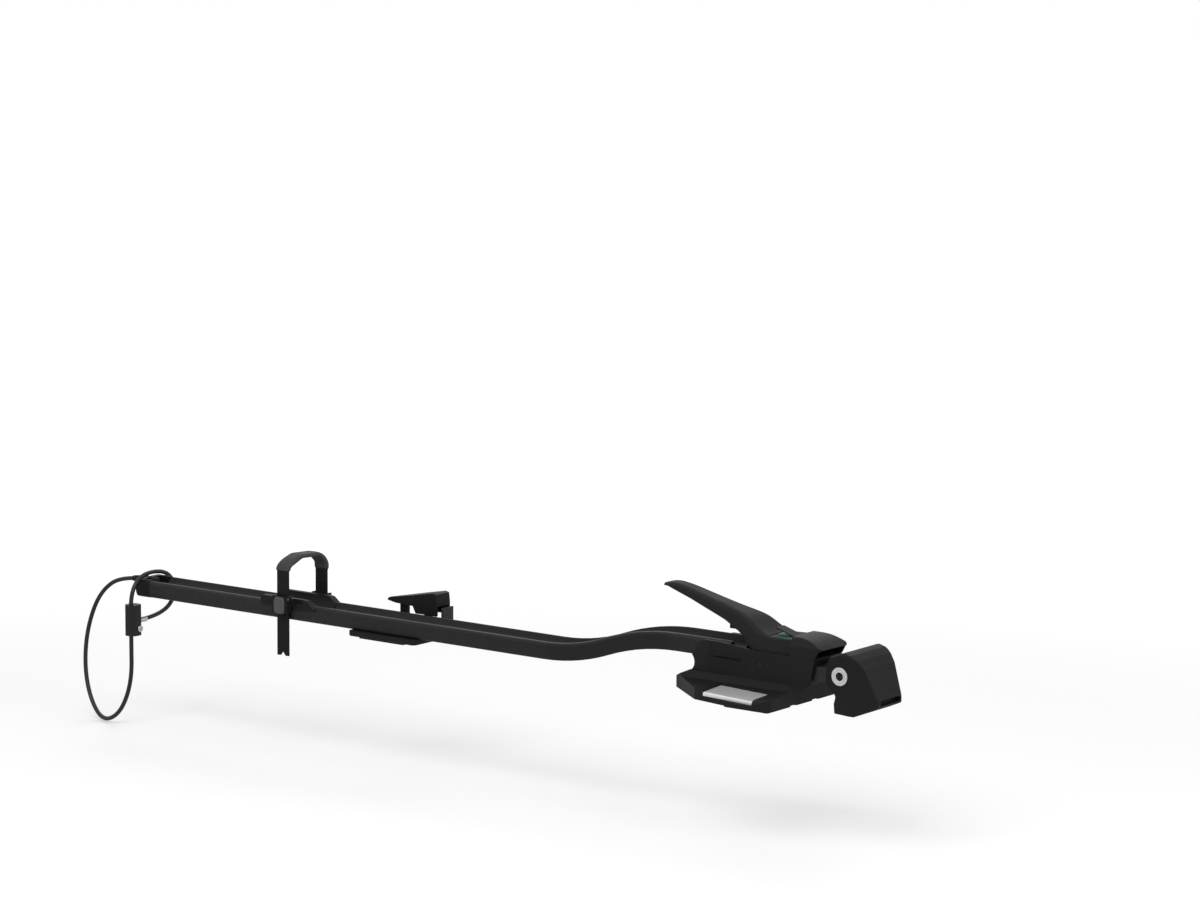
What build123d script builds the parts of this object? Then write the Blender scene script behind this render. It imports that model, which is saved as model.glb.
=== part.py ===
from build123d import *
import math
import os

# Roof mounted bike carrier that holds a bicycle by its fork. Millimetres. X runs forward, from the
# tail to the fork block, Y runs to the left and Z up. The origin is the middle of the head's seat:
# the top of the front crossbar, under the middle of the tray.

os.makedirs("parts", exist_ok=True)


# Clearances and overruns that every piece shares
running_gap = 0.3
seat_gap = 0.2
pin_gap = 0.05
overrun = 1.0
reach_through = 400.0

# The wheel tray: a hollow extrusion with a round trough on top and a T-slot below
tray_width = 60.0
tray_height = 26.4
tray_wall = 2.0
tray_floor_z = 10.8
tray_tail_x = -1212.0
tray_bend_x = -410.0
tray_front_x = -70.0
tray_rise = 42.5
tray_bend_radius = 352.0
tray_top_radius = 6.0
tray_lip_radius = 1.6
tray_bottom_radius = 4.0
trough_width = 44.0
trough_depth = 16.2
slot_mouth_width = 10.4
slot_width = 18.4
slot_depth = 7.0
slot_wall = 2.0

# The cap on the tray's tail, and what anchors the lock's cable in it
cap_length = 31.0
cap_proud = 1.0
cap_slant = 6.0
cap_corner_radius = 7.0
cap_edge_radius = 1.5
cap_pocket_width = 38.0
cap_wall = 5.0
cap_spigot_length = 14.0
cap_spigot_width = 13.0
cap_spigot_height = 9.6
cap_spigot_radius = 2.0
cable_diameter = 7.0
cable_exit_z = 33.5
grommet_radius = 5.2
grommet_length = 11.0
grommet_flange_radius = 6.4
grommet_flange_length = 2.0
anchor_radius = 5.5
anchor_length = 14.0
anchor_edge = 1.0

# The head that stands on the front crossbar
head_width = 72.0
head_wall = 3.8
head_floor_z = 32.0
head_seam_z = 72.8
head_tail_x = -137.0
head_split_x = -23.0
head_nose_x = 77.3
head_nose_rake = 9.0
head_shoulder_z = 78.5
head_crest_start_x = -112.0
head_crest_end_x = -85.0
head_taper_x = -106.0
head_tail_width = 62.4
head_edge_radius = 2.0
head_crest_radius = 9.0
head_waist = 5.0
head_rear_wall = 11.0
channel_gap = 0.25
tooth_slot_start_x = -123.0
tooth_slot_length = 37.0
tooth_slot_depth = 2.6
side_groove_start_x = -104.0
side_groove_length = 56.0
side_groove_height = 5.0
side_groove_depth = 2.6
side_groove_z = 54.0

# The chassis inside the head, and the beam that it sends forward to the fork block
chassis_width = 55.6
chassis_tail_x = -125.5
chassis_deck_z = 53.3
chassis_nose_x = 62.0
chassis_lift = 0.2
beam_bottom_z = 40.0
beam_top_z = 62.0
beam_start_x = 36.0
beam_end_x = 113.0
beam_corner_radius = 4.0

# The cover over the front of the head
cover_front_x = 88.0
cover_top_z = 100.0
cover_shoulder_z = 88.0
cover_top_width = 57.0
cover_wall = 3.0
cover_crest_x = 43.0
cover_nose_z = 86.0
cover_rake = 5.5
cover_lip = 5.5
cover_corner_radius = 9.0
cover_shoulder_radius = 7.0

# The foot under the head, with its metal plates and rubber pads
foot_sole_z = 2.5
foot_width = 208.0
foot_tail_x = -172.0
foot_nose_x = 41.0
foot_rim_z = 17.5
foot_root_z = 23.0
foot_root_half_width = 47.0
foot_edge_radius = 4.0
foot_rim_radius = 7.0
foot_corner_radius = 8.0
foot_toe_radius = 16.0
foot_front_half_width = 37.0
plate_length = 93.0
plate_width = 40.0
plate_thickness = 2.0
plate_lip = 5.5
plate_centre_x = -27.0
plate_inset = 28.0
plate_yaw = 5.5
plate_sink = 3.0
plate_bend_radius = 2.6
pad_length = 76.0
pad_inner_y = 34.0
pad_width = 60.0
pad_centre_width = 44.0

# The clamping lever, in the raised position of the photograph, and its pivot
pivot_x = 16.5
pivot_z = 83.0
lever_front_radius = 20.3
lever_front_gap = 0.6
lever_length = 222.0
lever_height = 66.0
lever_base_width = 63.0
lever_tip_wall = 9.0
lever_skin = 3.0
lever_heel_angle = 50.0
lever_pin_radius = 4.0
lever_rib_inner_y = 13.0
lever_rib_outer_y = 17.5
lever_rib_radius = 8.6
lever_tooth_width = 14.0
lever_tooth_length = 13.0
lever_tooth_z = 94.0
lever_tooth_x = -88.0
cam_radius = 9.0
cam_offset = 3.0
cam_inner_y = 6.4
cam_thickness = 6.0
cam_lift_gap = 0.35
seat_pillar_length = 16.0
draw_drop = 2.8

# The draw bar and the T-bolt that the front lever pulls up in the crossbar's slot
draw_thickness = 10.0
draw_eye_radius = 7.6
draw_shank_width = 13.2
draw_foot_z = 42.0
draw_foot_height = 15.0
draw_foot_tail = 7.0
bolt_radius = 4.0
bolt_end_length = 1.0
bolt_neck_width = 10.0
bolt_neck_length = 3.8
bolt_head_length = 30.0
bolt_head_width = 19.0
bolt_head_thickness = 4.0
bolt_head_z = -5.0
nut_across_flats = 13.0
nut_height = 6.5

# The green indicator and its hood on the lever
indicator_length = 22.0
indicator_width = 16.0
indicator_thickness = 2.4
indicator_inset = 1.7
indicator_proud = 1.2
hood_length = 33.0
hood_width = 20.0
hood_thickness = 1.8
hood_front_x = 27.0
hood_rise = 10.5
hood_sink = 2.0

# The fork block and the axle sleeve through it
block_width = 96.0
block_rear_x = 98.0
block_front_x = 182.0
block_height = 89.0
block_foot_z = 2.0
block_edge_radius = 3.5
block_crown_radius = 9.0
block_plan_radius = 8.0
block_crease_radius = 15.0
block_recess_width = 52.0
block_recess_height = 8.0
block_recess_depth = 4.5
block_recess_z = 17.5
socket_gap = 0.25
axle_x = 128.0
axle_z = 57.5
axle_bore_radius = 6.05
axle_sleeve_radius = 9.0
axle_sleeve_length = 100.0
axle_collar_radius = 13.0
axle_collar_seat = 3.0

# The rear clamp, which slides under the tray and grips the rear crossbar
rear_bar_x = -719.0
rear_base_length = 134.0
rear_base_centre_x = -716.0
rear_base_near_reach = 9.0
rear_base_far_reach = 35.0
rear_base_bottom_z = 2.5
rear_base_corner_radius = 8.0
rear_base_edge = 1.0
rear_pad_length = 90.0
shoe_length = 90.0
shoe_gap = 0.3
shoe_head_height = 4.2
shoe_screw_spacing = 60.0
shoe_screw_radius = 2.4
shoe_screw_head_radius = 4.2
shoe_screw_head_height = 2.5
rear_pivot_x = -688.0
rear_pivot_reach = 20.0
rear_pivot_z = 50.0
rear_pillar_length = 13.0
rear_bracket_length = 46.0
rear_bracket_foot = 7.0
rear_shield_reach = 30.0
rear_shield_top_z = 49.0
rear_shield_wall = 3.0
rear_well_length = 42.0
rear_well_width = 27.0
rear_well_gap = 1.0
rear_cam_radius = 7.5
rear_cam_offset = 2.4
rear_pin_radius = 3.0
rear_cam_thickness = 3.6
rear_draw_thickness = 6.0
rear_draw_eye_radius = 5.8
rear_draw_shank_width = 10.6
rear_draw_foot_z = 14.0
rear_draw_foot_height = 11.0
rear_draw_foot_tail = 6.5
rear_bolt_radius = 3.0
rear_nut_across_flats = 10.0
rear_nut_height = 5.0
rear_lever_width = 26.0
rear_lever_length = 111.0
rear_lever_height = 38.0
rear_lever_skin = 2.6
catch_x = -741.0
catch_length = 14.0
catch_width = 8.0
catch_top_z = 45.2
catch_edge = 1.0

# The wheel holder, which slides along the tray, with its strap and ratchet buckle
holder_rear_x = -966.0
holder_length = 110.0
holder_side = 3.5
holder_top_z = 45.0
holder_skirt_z = 29.5
holder_slope_length = 16.0
holder_edge_radius = 3.0
holder_floor = 2.8
holder_notch_x = -890.0
holder_notch_length = 26.0
holder_notch_z = 38.0
holder_notch_slant = 5.0
holder_notch_depth = 5.0
strap_x = -917.5
strap_width = 23.0
strap_thickness = 2.6
strap_near_reach = 5.2
strap_far_reach = 8.4
strap_near_bend_z = 95.0
strap_top_z = 109.5
strap_near_slope = 26.0
strap_far_slope = 13.0
strap_bend_radius = 12.0
strap_skew = 12.0
strap_tail_z = -46.0
strap_notch_depth = 7.0
strap_notch_width = 11.0
strap_tooth_pitch = 3.2
strap_tooth_height = 0.9
strap_tooth_start_z = -40.0
strap_tooth_count = 25
strap_gap = 0.3
strap_eye_radius = 4.5
rim_pad_thickness = 7.6
rim_pad_width = 27.0
rim_pad_near_z = 90.0
rim_pad_far_z = 84.0
buckle_wall = 3.6
buckle_reach = 11.0
buckle_bottom_z = 23.0
buckle_top_z = 49.0
tab_thickness = 3.0
tab_width = 22.0
tab_bottom_z = 21.0
tab_pivot_reach = 5.8
tab_pivot_z = 45.0
tab_pin_radius = 1.6
tab_boss_radius = 3.4
tab_nose_z = 37.0
tab_nose_height = 2.4
anchor_z = 40.0
anchor_lug_wall = 3.6
anchor_lug_reach = 9.5
anchor_lug_bottom_z = 30.0
anchor_lug_top_z = 46.0
anchor_side_gap = 1.4
anchor_pin_radius = 2.0

# The lock on the cable's end
lock_length = 50.0
lock_width = 22.0
lock_depth = 24.0
lock_x = -1228.5
lock_y = -48.0
lock_bottom_z = -50.0
lock_chamfer = 5.0
lock_core_radius = 5.5
lock_core_length = 16.0
lock_core_proud = 1.2
lock_core_y = -43.0
lock_core_z = -39.0
lock_key_width = 1.4
lock_key_length = 6.0
lock_key_depth = 5.0
lock_core_edge = 0.5
ferrule_radius = 5.0
ferrule_length = 17.0
ferrule_wall = 2.0
ferrule_edge = 1.0
ferrule_plug_radius = 3.4
ferrule_plug_length = 8.0
ferrule_z = -27.0
cable_lock_y = -53.0
cable_bend_share = 0.45
cable_widest_bend = 80.0
cable_hanging_route = [
    (-1296.0, 0.0, 33.5),
    (-1340.0, -8.0, 4.0),
    (-1361.0, -17.0, -54.0),
    (-1361.0, -26.0, -116.0),
    (-1342.0, -34.0, -170.0),
    (-1306.0, -41.0, -204.0),
    (-1262.0, -45.0, -184.0),
    (-1234.0, -47.0, -128.0),
    (-1228.5, -53.0, -57.0),
]
cable_loop_top_z = 47.0
cable_loop_far_y = 47.0

# Screws
screw_radius = 2.5
screw_head_radius = 3.6
screw_head_height = 3.0
screw_length = 12.0
screw_socket_radius = 2.0
screw_socket_depth = 1.6
screw_recess_radius = 4.2
screw_recess_depth = 3.4
head_screw_x = -17.8
head_screw_z = 54.0

# Sizes that follow from the ones above
tray_bend_angle = math.degrees(math.acos(1 - tray_rise / (2 * tray_bend_radius)))
trough_radius = ((trough_width / 2) ** 2 + trough_depth ** 2) / (2 * trough_depth)
raised_floor_z = tray_floor_z + tray_rise
head_half = head_width / 2
pocket_half = head_half - head_wall
cavity_half = chassis_width / 2 + channel_gap
cap_tail_x = tray_tail_x - cap_length
plate_centre_y = foot_width / 2 - plate_inset
rear_base_near_y = -tray_width / 2 - rear_base_near_reach
rear_base_far_y = tray_width / 2 + rear_base_far_reach
rear_pivot_y = tray_width / 2 + rear_pivot_reach
holder_width = tray_width + 2 * holder_side
strap_near_y = -tray_width / 2 - strap_near_reach
strap_far_y = tray_width / 2 + strap_far_reach
tab_pivot_y = strap_near_y - tab_pivot_reach


def mirrored(points):
    """An outline given for positive Y, closed by its own reflection."""
    return points + [(x, -y) for x, y in reversed(points)]


def plane_at_x(x, z=0):
    """A plane that faces forward, with Y across and Z up."""
    return Plane(origin=(x, 0, z), x_dir=(0, 1, 0), z_dir=(1, 0, 0))


def plane_at_y(y):
    """A plane that faces the near side, with X across and Z up."""
    return Plane(origin=(0, y, 0), x_dir=(1, 0, 0), z_dir=(0, -1, 0))


def tray_section(grow):
    """The tray's outer section, standing on the sketch's X axis, grown outward by a gap."""
    with BuildSketch() as section:
        with Locations((0, tray_height / 2)):
            Rectangle(tray_width, tray_height)
        fillet(section.vertices().group_by(Axis.Y)[0], tray_bottom_radius)
        fillet(section.vertices().group_by(Axis.Y)[-1], tray_top_radius)
        with Locations((0, tray_height - trough_depth + trough_radius)):
            Circle(trough_radius, mode=Mode.SUBTRACT)
        lip_y = trough_width / 2
        lips = section.vertices().filter_by(lambda corner: abs(abs(corner.X) - lip_y) < running_gap)
        fillet(lips, tray_lip_radius)
        if grow:
            offset(amount=grow)
    return section.sketch


tray_outside = tray_section(0)
tray_inside = tray_section(-tray_wall)
with BuildSketch() as tray_hollow:
    add(tray_inside)
    with Locations((0, (slot_depth + slot_wall) / 2)):
        Rectangle(slot_width + 2 * slot_wall, slot_depth + slot_wall, mode=Mode.SUBTRACT)

# The wheel tray
with BuildPart() as wheel_tray:
    with BuildLine(Plane.XZ) as tray_line:
        straight = Line((tray_tail_x, tray_floor_z), (tray_bend_x, tray_floor_z))
        rise = JernArc(straight @ 1, straight % 1, tray_bend_radius, tray_bend_angle)
        level = JernArc(rise @ 1, rise % 1, tray_bend_radius, -tray_bend_angle)
        Line(level @ 1, (tray_front_x, raised_floor_z))
    with BuildSketch(plane_at_x(tray_tail_x, tray_floor_z)):
        add(tray_outside)
        add(tray_hollow.sketch, mode=Mode.SUBTRACT)
        with Locations((0, (tray_wall + slot_depth) / 2)):
            Rectangle(slot_width, slot_depth - tray_wall, mode=Mode.SUBTRACT)
        Rectangle(slot_mouth_width, 3 * tray_wall, mode=Mode.SUBTRACT)
    sweep(path=tray_line.line)
wheel_tray.part.label = "wheel_tray"
export_step(wheel_tray.part, "parts/wheel_tray.step")


# The cap on the tray's tail, with the scoop that the cable leaves through
with BuildPart() as tail_cap:
    with BuildSketch(plane_at_x(tray_tail_x, tray_floor_z - cap_proud)):
        with Locations((0, tray_height / 2 + cap_proud)):
            RectangleRounded(tray_width + 2 * cap_proud, tray_height + 2 * cap_proud, cap_corner_radius)
    extrude(amount=-cap_length)
    with BuildSketch(plane_at_y(0)):
        with BuildLine():
            Polyline(
                (cap_tail_x, tray_floor_z + tray_height + cap_proud),
                (tray_tail_x, tray_floor_z + tray_height + cap_proud),
                (tray_tail_x, tray_floor_z - cap_proud),
                (cap_tail_x + cap_slant, tray_floor_z - cap_proud),
                close=True,
            )
        make_face()
    extrude(amount=tray_width, both=True, mode=Mode.INTERSECT)
    fillet(tail_cap.faces().sort_by(Axis.X)[0].edges(), cap_edge_radius)
    with BuildSketch(plane_at_x(tray_tail_x, tray_floor_z)):
        spigot_y = tray_width / 2 - tray_wall - seat_gap - cap_spigot_width / 2
        spigot_z = tray_wall + seat_gap + cap_spigot_height / 2
        with Locations((spigot_y, spigot_z), (-spigot_y, spigot_z)):
            RectangleRounded(cap_spigot_width, cap_spigot_height, cap_spigot_radius)
    extrude(amount=cap_spigot_length)
    with BuildSketch(Plane.XY.offset(cable_exit_z - anchor_radius)):
        with Locations((cap_tail_x + cap_slant + cap_wall + cap_length / 2, 0)):
            Rectangle(cap_length, cap_pocket_width)
    extrude(amount=tray_height, mode=Mode.SUBTRACT)
    with BuildSketch(plane_at_x(cap_tail_x - overrun, cable_exit_z)):
        Circle(grommet_radius)
        with Locations((0, grommet_radius)):
            Rectangle(2 * grommet_radius, 2 * grommet_radius)
    extrude(amount=cap_wall + cap_slant + 2 * overrun, mode=Mode.SUBTRACT)
tail_cap.part.label = "tail_cap"
export_step(tail_cap.part, "parts/tail_cap.step")


# The rubber grommet in the cap's rear wall
with BuildPart() as cable_grommet:
    with BuildSketch(plane_at_x(cap_tail_x, cable_exit_z)):
        Circle(grommet_radius - pin_gap)
    extrude(amount=grommet_length)
    with BuildSketch(plane_at_x(cap_tail_x, cable_exit_z)):
        Circle(grommet_flange_radius)
    extrude(amount=-grommet_flange_length)
    with BuildSketch(plane_at_x(cap_tail_x - grommet_flange_length, cable_exit_z)):
        Circle(cable_diameter / 2 + pin_gap)
    extrude(amount=grommet_length + 2 * grommet_flange_length, mode=Mode.SUBTRACT)
cable_grommet.part.label = "cable_grommet"
export_step(cable_grommet.part, "parts/cable_grommet.step")


# The crimped stop that holds the cable's end in the cap's pocket
anchor_start_x = cap_tail_x + grommet_length + seat_gap
with BuildPart() as cable_anchor:
    with BuildSketch(plane_at_x(anchor_start_x, cable_exit_z)):
        Circle(anchor_radius)
    extrude(amount=anchor_length)
    chamfer(cable_anchor.edges(), anchor_edge)
cable_anchor.part.label = "cable_anchor"
export_step(cable_anchor.part, "parts/cable_anchor.step")


# The head's rear shell, a saddle round the tray's front end, waisted at its tail
head_waist_top_z = raised_floor_z
with BuildPart() as head_rear_shell:
    with BuildSketch(plane_at_y(0)) as rear_outline:
        with BuildLine():
            outline = Polyline(
                (head_tail_x, head_waist_top_z),
                (head_crest_start_x - head_rear_wall, head_seam_z),
                (head_crest_start_x, head_shoulder_z),
                (head_crest_end_x, head_shoulder_z),
                (head_split_x - seat_gap, head_seam_z),
                (head_split_x - seat_gap, head_floor_z),
                (head_tail_x, head_floor_z),
            )
            ThreePointArc(
                outline @ 1,
                (head_tail_x + head_waist, (head_floor_z + head_waist_top_z) / 2),
                outline @ 0,
            )
        make_face()
        crest = rear_outline.vertices().filter_by(
            lambda corner: head_tail_x < corner.X < head_split_x - running_gap and corner.Y > raised_floor_z
        )
        fillet(crest, head_crest_radius)
    extrude(amount=head_half, both=True)
    with BuildSketch(Plane.XY):
        with BuildLine():
            Polyline(
                *mirrored([
                    (head_tail_x - overrun, head_tail_width / 2),
                    (head_taper_x, head_half),
                    (head_split_x, head_half),
                ]),
                close=True,
            )
        make_face()
    extrude(amount=reach_through, both=True, mode=Mode.INTERSECT)
    with BuildSketch(plane_at_x(head_tail_x - overrun, raised_floor_z - channel_gap)):
        with Locations((0, tray_height)):
            Rectangle(tray_width + 2 * channel_gap, 2 * tray_height)
    extrude(amount=tray_front_x - head_tail_x + 2 * overrun, mode=Mode.SUBTRACT)
    with BuildSketch(plane_at_x(tray_front_x, chassis_deck_z)):
        with Locations((0, head_width / 2)):
            Rectangle(2 * pocket_half, head_width)
    extrude(amount=reach_through, mode=Mode.SUBTRACT)
    with BuildSketch(plane_at_x(chassis_tail_x - seat_gap, head_floor_z)):
        Rectangle(2 * cavity_half, 2 * (chassis_deck_z - head_floor_z))
    extrude(amount=reach_through, mode=Mode.SUBTRACT)
    with BuildSketch(Plane.XY.offset(head_shoulder_z - tooth_slot_depth)):
        with Locations(
            (tooth_slot_start_x + tooth_slot_length / 2, tray_width / 2),
            (tooth_slot_start_x + tooth_slot_length / 2, -tray_width / 2),
        ):
            Rectangle(tooth_slot_length, head_wall)
    extrude(amount=head_wall, mode=Mode.SUBTRACT)
    for side in (1, -1):
        with BuildSketch(plane_at_y(side * head_half)):
            with BuildLine():
                Polyline(
                    (side_groove_start_x, side_groove_z + side_groove_height / 2),
                    (side_groove_start_x + side_groove_length, side_groove_z + side_groove_height),
                    (side_groove_start_x + side_groove_length, side_groove_z),
                    close=True,
                )
            make_face()
        extrude(amount=side_groove_depth, both=True, mode=Mode.SUBTRACT)
head_rear_shell.part.label = "head_rear_shell"
export_step(head_rear_shell.part, "parts/head_rear_shell.step")


# The head's front shell, with the lever's pocket and the opening for the beam
with BuildPart() as head_front_shell:
    with BuildSketch(plane_at_y(0)):
        with BuildLine():
            Polyline(
                (head_split_x, head_floor_z),
                (head_split_x, head_seam_z),
                (head_nose_x, head_seam_z),
                (head_nose_x - head_nose_rake, head_floor_z),
                close=True,
            )
        make_face()
    extrude(amount=head_half, both=True)
    nose = head_front_shell.faces().sort_by(Axis.X)[-1]
    fillet(nose.edges().filter_by(Axis.Z, reverse=True), head_edge_radius)
    with BuildSketch(plane_at_x(head_split_x - overrun, head_floor_z - overrun)):
        with Locations((0, (beam_top_z + channel_gap - head_floor_z + overrun) / 2)):
            Rectangle(2 * cavity_half, beam_top_z + channel_gap - head_floor_z + overrun)
    extrude(amount=reach_through, mode=Mode.SUBTRACT)
    with BuildSketch(plane_at_x(head_split_x - overrun, chassis_deck_z)):
        with Locations((0, head_width / 2)):
            Rectangle(2 * pocket_half, head_width)
    extrude(amount=chassis_nose_x - head_split_x + overrun, mode=Mode.SUBTRACT)
    for side in (1, -1):
        with BuildSketch(Plane(origin=(head_screw_x, side * head_half, head_screw_z), z_dir=(0, side, 0))):
            Circle(screw_recess_radius)
        extrude(amount=-screw_recess_depth, mode=Mode.SUBTRACT)
        with BuildSketch(Plane(origin=(head_screw_x, side * head_half, head_screw_z), z_dir=(0, side, 0))):
            Circle(screw_radius + pin_gap)
        extrude(amount=-screw_length, mode=Mode.SUBTRACT)
head_front_shell.part.label = "head_front_shell"
export_step(head_front_shell.part, "parts/head_front_shell.step")


# The cover over the front shell, hollowed round the lever's swing
cover_clear_radius = lever_front_radius + lever_front_gap
cover_hollow_x = pivot_x + cover_clear_radius + cover_wall
cover_section = [
    (head_half, head_seam_z + seat_gap),
    (head_half, cover_shoulder_z),
    (cover_top_width / 2, cover_top_z),
    (-cover_top_width / 2, cover_top_z),
    (-head_half, cover_shoulder_z),
    (-head_half, head_seam_z + seat_gap),
]
with BuildPart() as cover_hollow:
    with BuildSketch(plane_at_y(0)):
        with BuildLine():
            ceiling = TangentArc(
                (cover_crest_x, cover_top_z - cover_wall),
                (cover_front_x, cover_nose_z - cover_wall),
                tangent=(1, 0),
            )
            Polyline(
                ceiling @ 1,
                (cover_front_x, 0),
                (cover_hollow_x, 0),
                (cover_hollow_x, cover_top_z - cover_wall),
                ceiling @ 0,
            )
        make_face()
    extrude(amount=head_half, both=True)
    with BuildSketch(plane_at_x(0)):
        with BuildLine():
            Polyline(*cover_section, close=True)
        make_face()
        offset(amount=-cover_wall, kind=Kind.INTERSECTION)
        with Locations((0, head_seam_z)):
            Rectangle(2 * pocket_half, 4 * cover_wall)
    extrude(amount=reach_through, mode=Mode.INTERSECT)

with BuildPart() as head_top_cover:
    with BuildSketch(plane_at_y(0)):
        with BuildLine():
            crest = TangentArc((cover_crest_x, cover_top_z), (cover_front_x, cover_nose_z), tangent=(1, 0))
            Polyline(
                crest @ 1,
                (cover_front_x - cover_lip, cover_nose_z - cover_wall),
                (cover_front_x - cover_lip - cover_rake, head_seam_z + seat_gap),
                (pivot_x, head_seam_z + seat_gap),
                (pivot_x, cover_top_z),
                crest @ 0,
            )
        make_face()
        with Locations((pivot_x, pivot_z), (pivot_x, pivot_z - draw_drop)):
            Circle(cover_clear_radius, mode=Mode.SUBTRACT)
        with Locations((pivot_x, pivot_z - draw_drop / 2)):
            Rectangle(2 * cover_clear_radius, draw_drop, mode=Mode.SUBTRACT)
        with Locations((pivot_x, pivot_z + cover_clear_radius)):
            Rectangle(2 * cover_clear_radius - 2 * cover_wall, 2 * cover_clear_radius, mode=Mode.SUBTRACT)
    extrude(amount=head_half, both=True)
    with BuildSketch(plane_at_x(0)) as cover_front:
        with BuildLine():
            Polyline(*cover_section, close=True)
        make_face()
        fillet(cover_front.vertices().filter_by(lambda corner: corner.Y > pivot_z), cover_shoulder_radius)
    extrude(amount=reach_through, mode=Mode.INTERSECT)
    with BuildSketch(Plane.XY) as cover_plan:
        with Locations((cover_front_x / 2, 0)):
            Rectangle(cover_front_x, head_width)
        fillet(cover_plan.vertices().group_by(Axis.X)[-1], cover_corner_radius)
    extrude(amount=reach_through, mode=Mode.INTERSECT)
    add(cover_hollow.part, mode=Mode.SUBTRACT)
head_top_cover.part.label = "head_top_cover"
export_step(head_top_cover.part, "parts/head_top_cover.step")


# The chassis, its beam, and the pillars that the lever's cams press on
cam_centre_x = pivot_x - cam_offset
seat_pillar_z = pivot_z - cam_radius - cam_lift_gap
with BuildPart() as head_chassis:
    with BuildSketch(plane_at_y(0)):
        with BuildLine():
            Polyline(
                (chassis_tail_x, head_floor_z + chassis_lift),
                (chassis_tail_x, raised_floor_z),
                (tray_front_x + chassis_lift, raised_floor_z),
                (beam_start_x, raised_floor_z),
                (beam_start_x, beam_top_z),
                (beam_end_x, beam_top_z),
                (beam_end_x, beam_bottom_z),
                (chassis_nose_x, beam_bottom_z),
                (chassis_nose_x, head_floor_z + chassis_lift),
                close=True,
            )
        make_face()
    extrude(amount=chassis_width / 2, both=True)
    fillet(head_chassis.faces().sort_by(Axis.X)[-1].edges().filter_by(Axis.Z), beam_corner_radius)
    with BuildSketch(Plane.XY.offset(raised_floor_z - overrun)):
        with Locations(
            (cam_centre_x, cam_inner_y + cam_thickness / 2),
            (cam_centre_x, -cam_inner_y - cam_thickness / 2),
        ):
            Rectangle(seat_pillar_length, cam_thickness)
    extrude(amount=seat_pillar_z - raised_floor_z + overrun)
    with BuildSketch(Plane.XY.offset(head_floor_z)):
        with Locations(((pivot_x + draw_eye_radius - draw_foot_tail) / 2, 0)):
            Rectangle(
                pivot_x + draw_eye_radius + draw_foot_tail + 2 * overrun,
                draw_thickness + 4 * running_gap,
            )
    extrude(amount=reach_through, mode=Mode.SUBTRACT)
    for side in (1, -1):
        with BuildSketch(Plane(origin=(head_screw_x, side * head_half, head_screw_z), z_dir=(0, side, 0))):
            Circle(screw_radius + pin_gap)
        extrude(amount=-screw_recess_depth - screw_length, mode=Mode.SUBTRACT)
head_chassis.part.label = "head_chassis"
export_step(head_chassis.part, "parts/head_chassis.step")


# The foot: a broad sole with sloping wings that carry the metal plates
foot_length = foot_nose_x - foot_tail_x
foot_plan_shares = [
    (0.0, 0.13),
    (0.035, 0.3),
    (0.375, 0.84),
    (0.71, 0.96),
    (0.9, 1.0),
    (1.0, 0.99),
]
plate_slope = math.degrees(math.atan2(foot_root_z - foot_rim_z, foot_width / 2 - foot_root_half_width))


def plate_plane(side, sink):
    """The plane of one wing's plate: level with the rim, then sunk, X along the plate."""
    yaw = math.radians(plate_yaw)
    slope = math.radians(plate_slope)
    rim_z = foot_root_z - (plate_centre_y - foot_root_half_width) * math.tan(slope)
    along = Vector(math.cos(yaw), side * math.sin(yaw), -math.sin(yaw) * math.tan(slope))
    normal = Vector(0, side * math.sin(slope), math.cos(slope))
    centre = Vector(plate_centre_x, side * plate_centre_y, rim_z) - normal * sink
    return Plane(origin=centre, x_dir=along, z_dir=normal)


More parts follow.
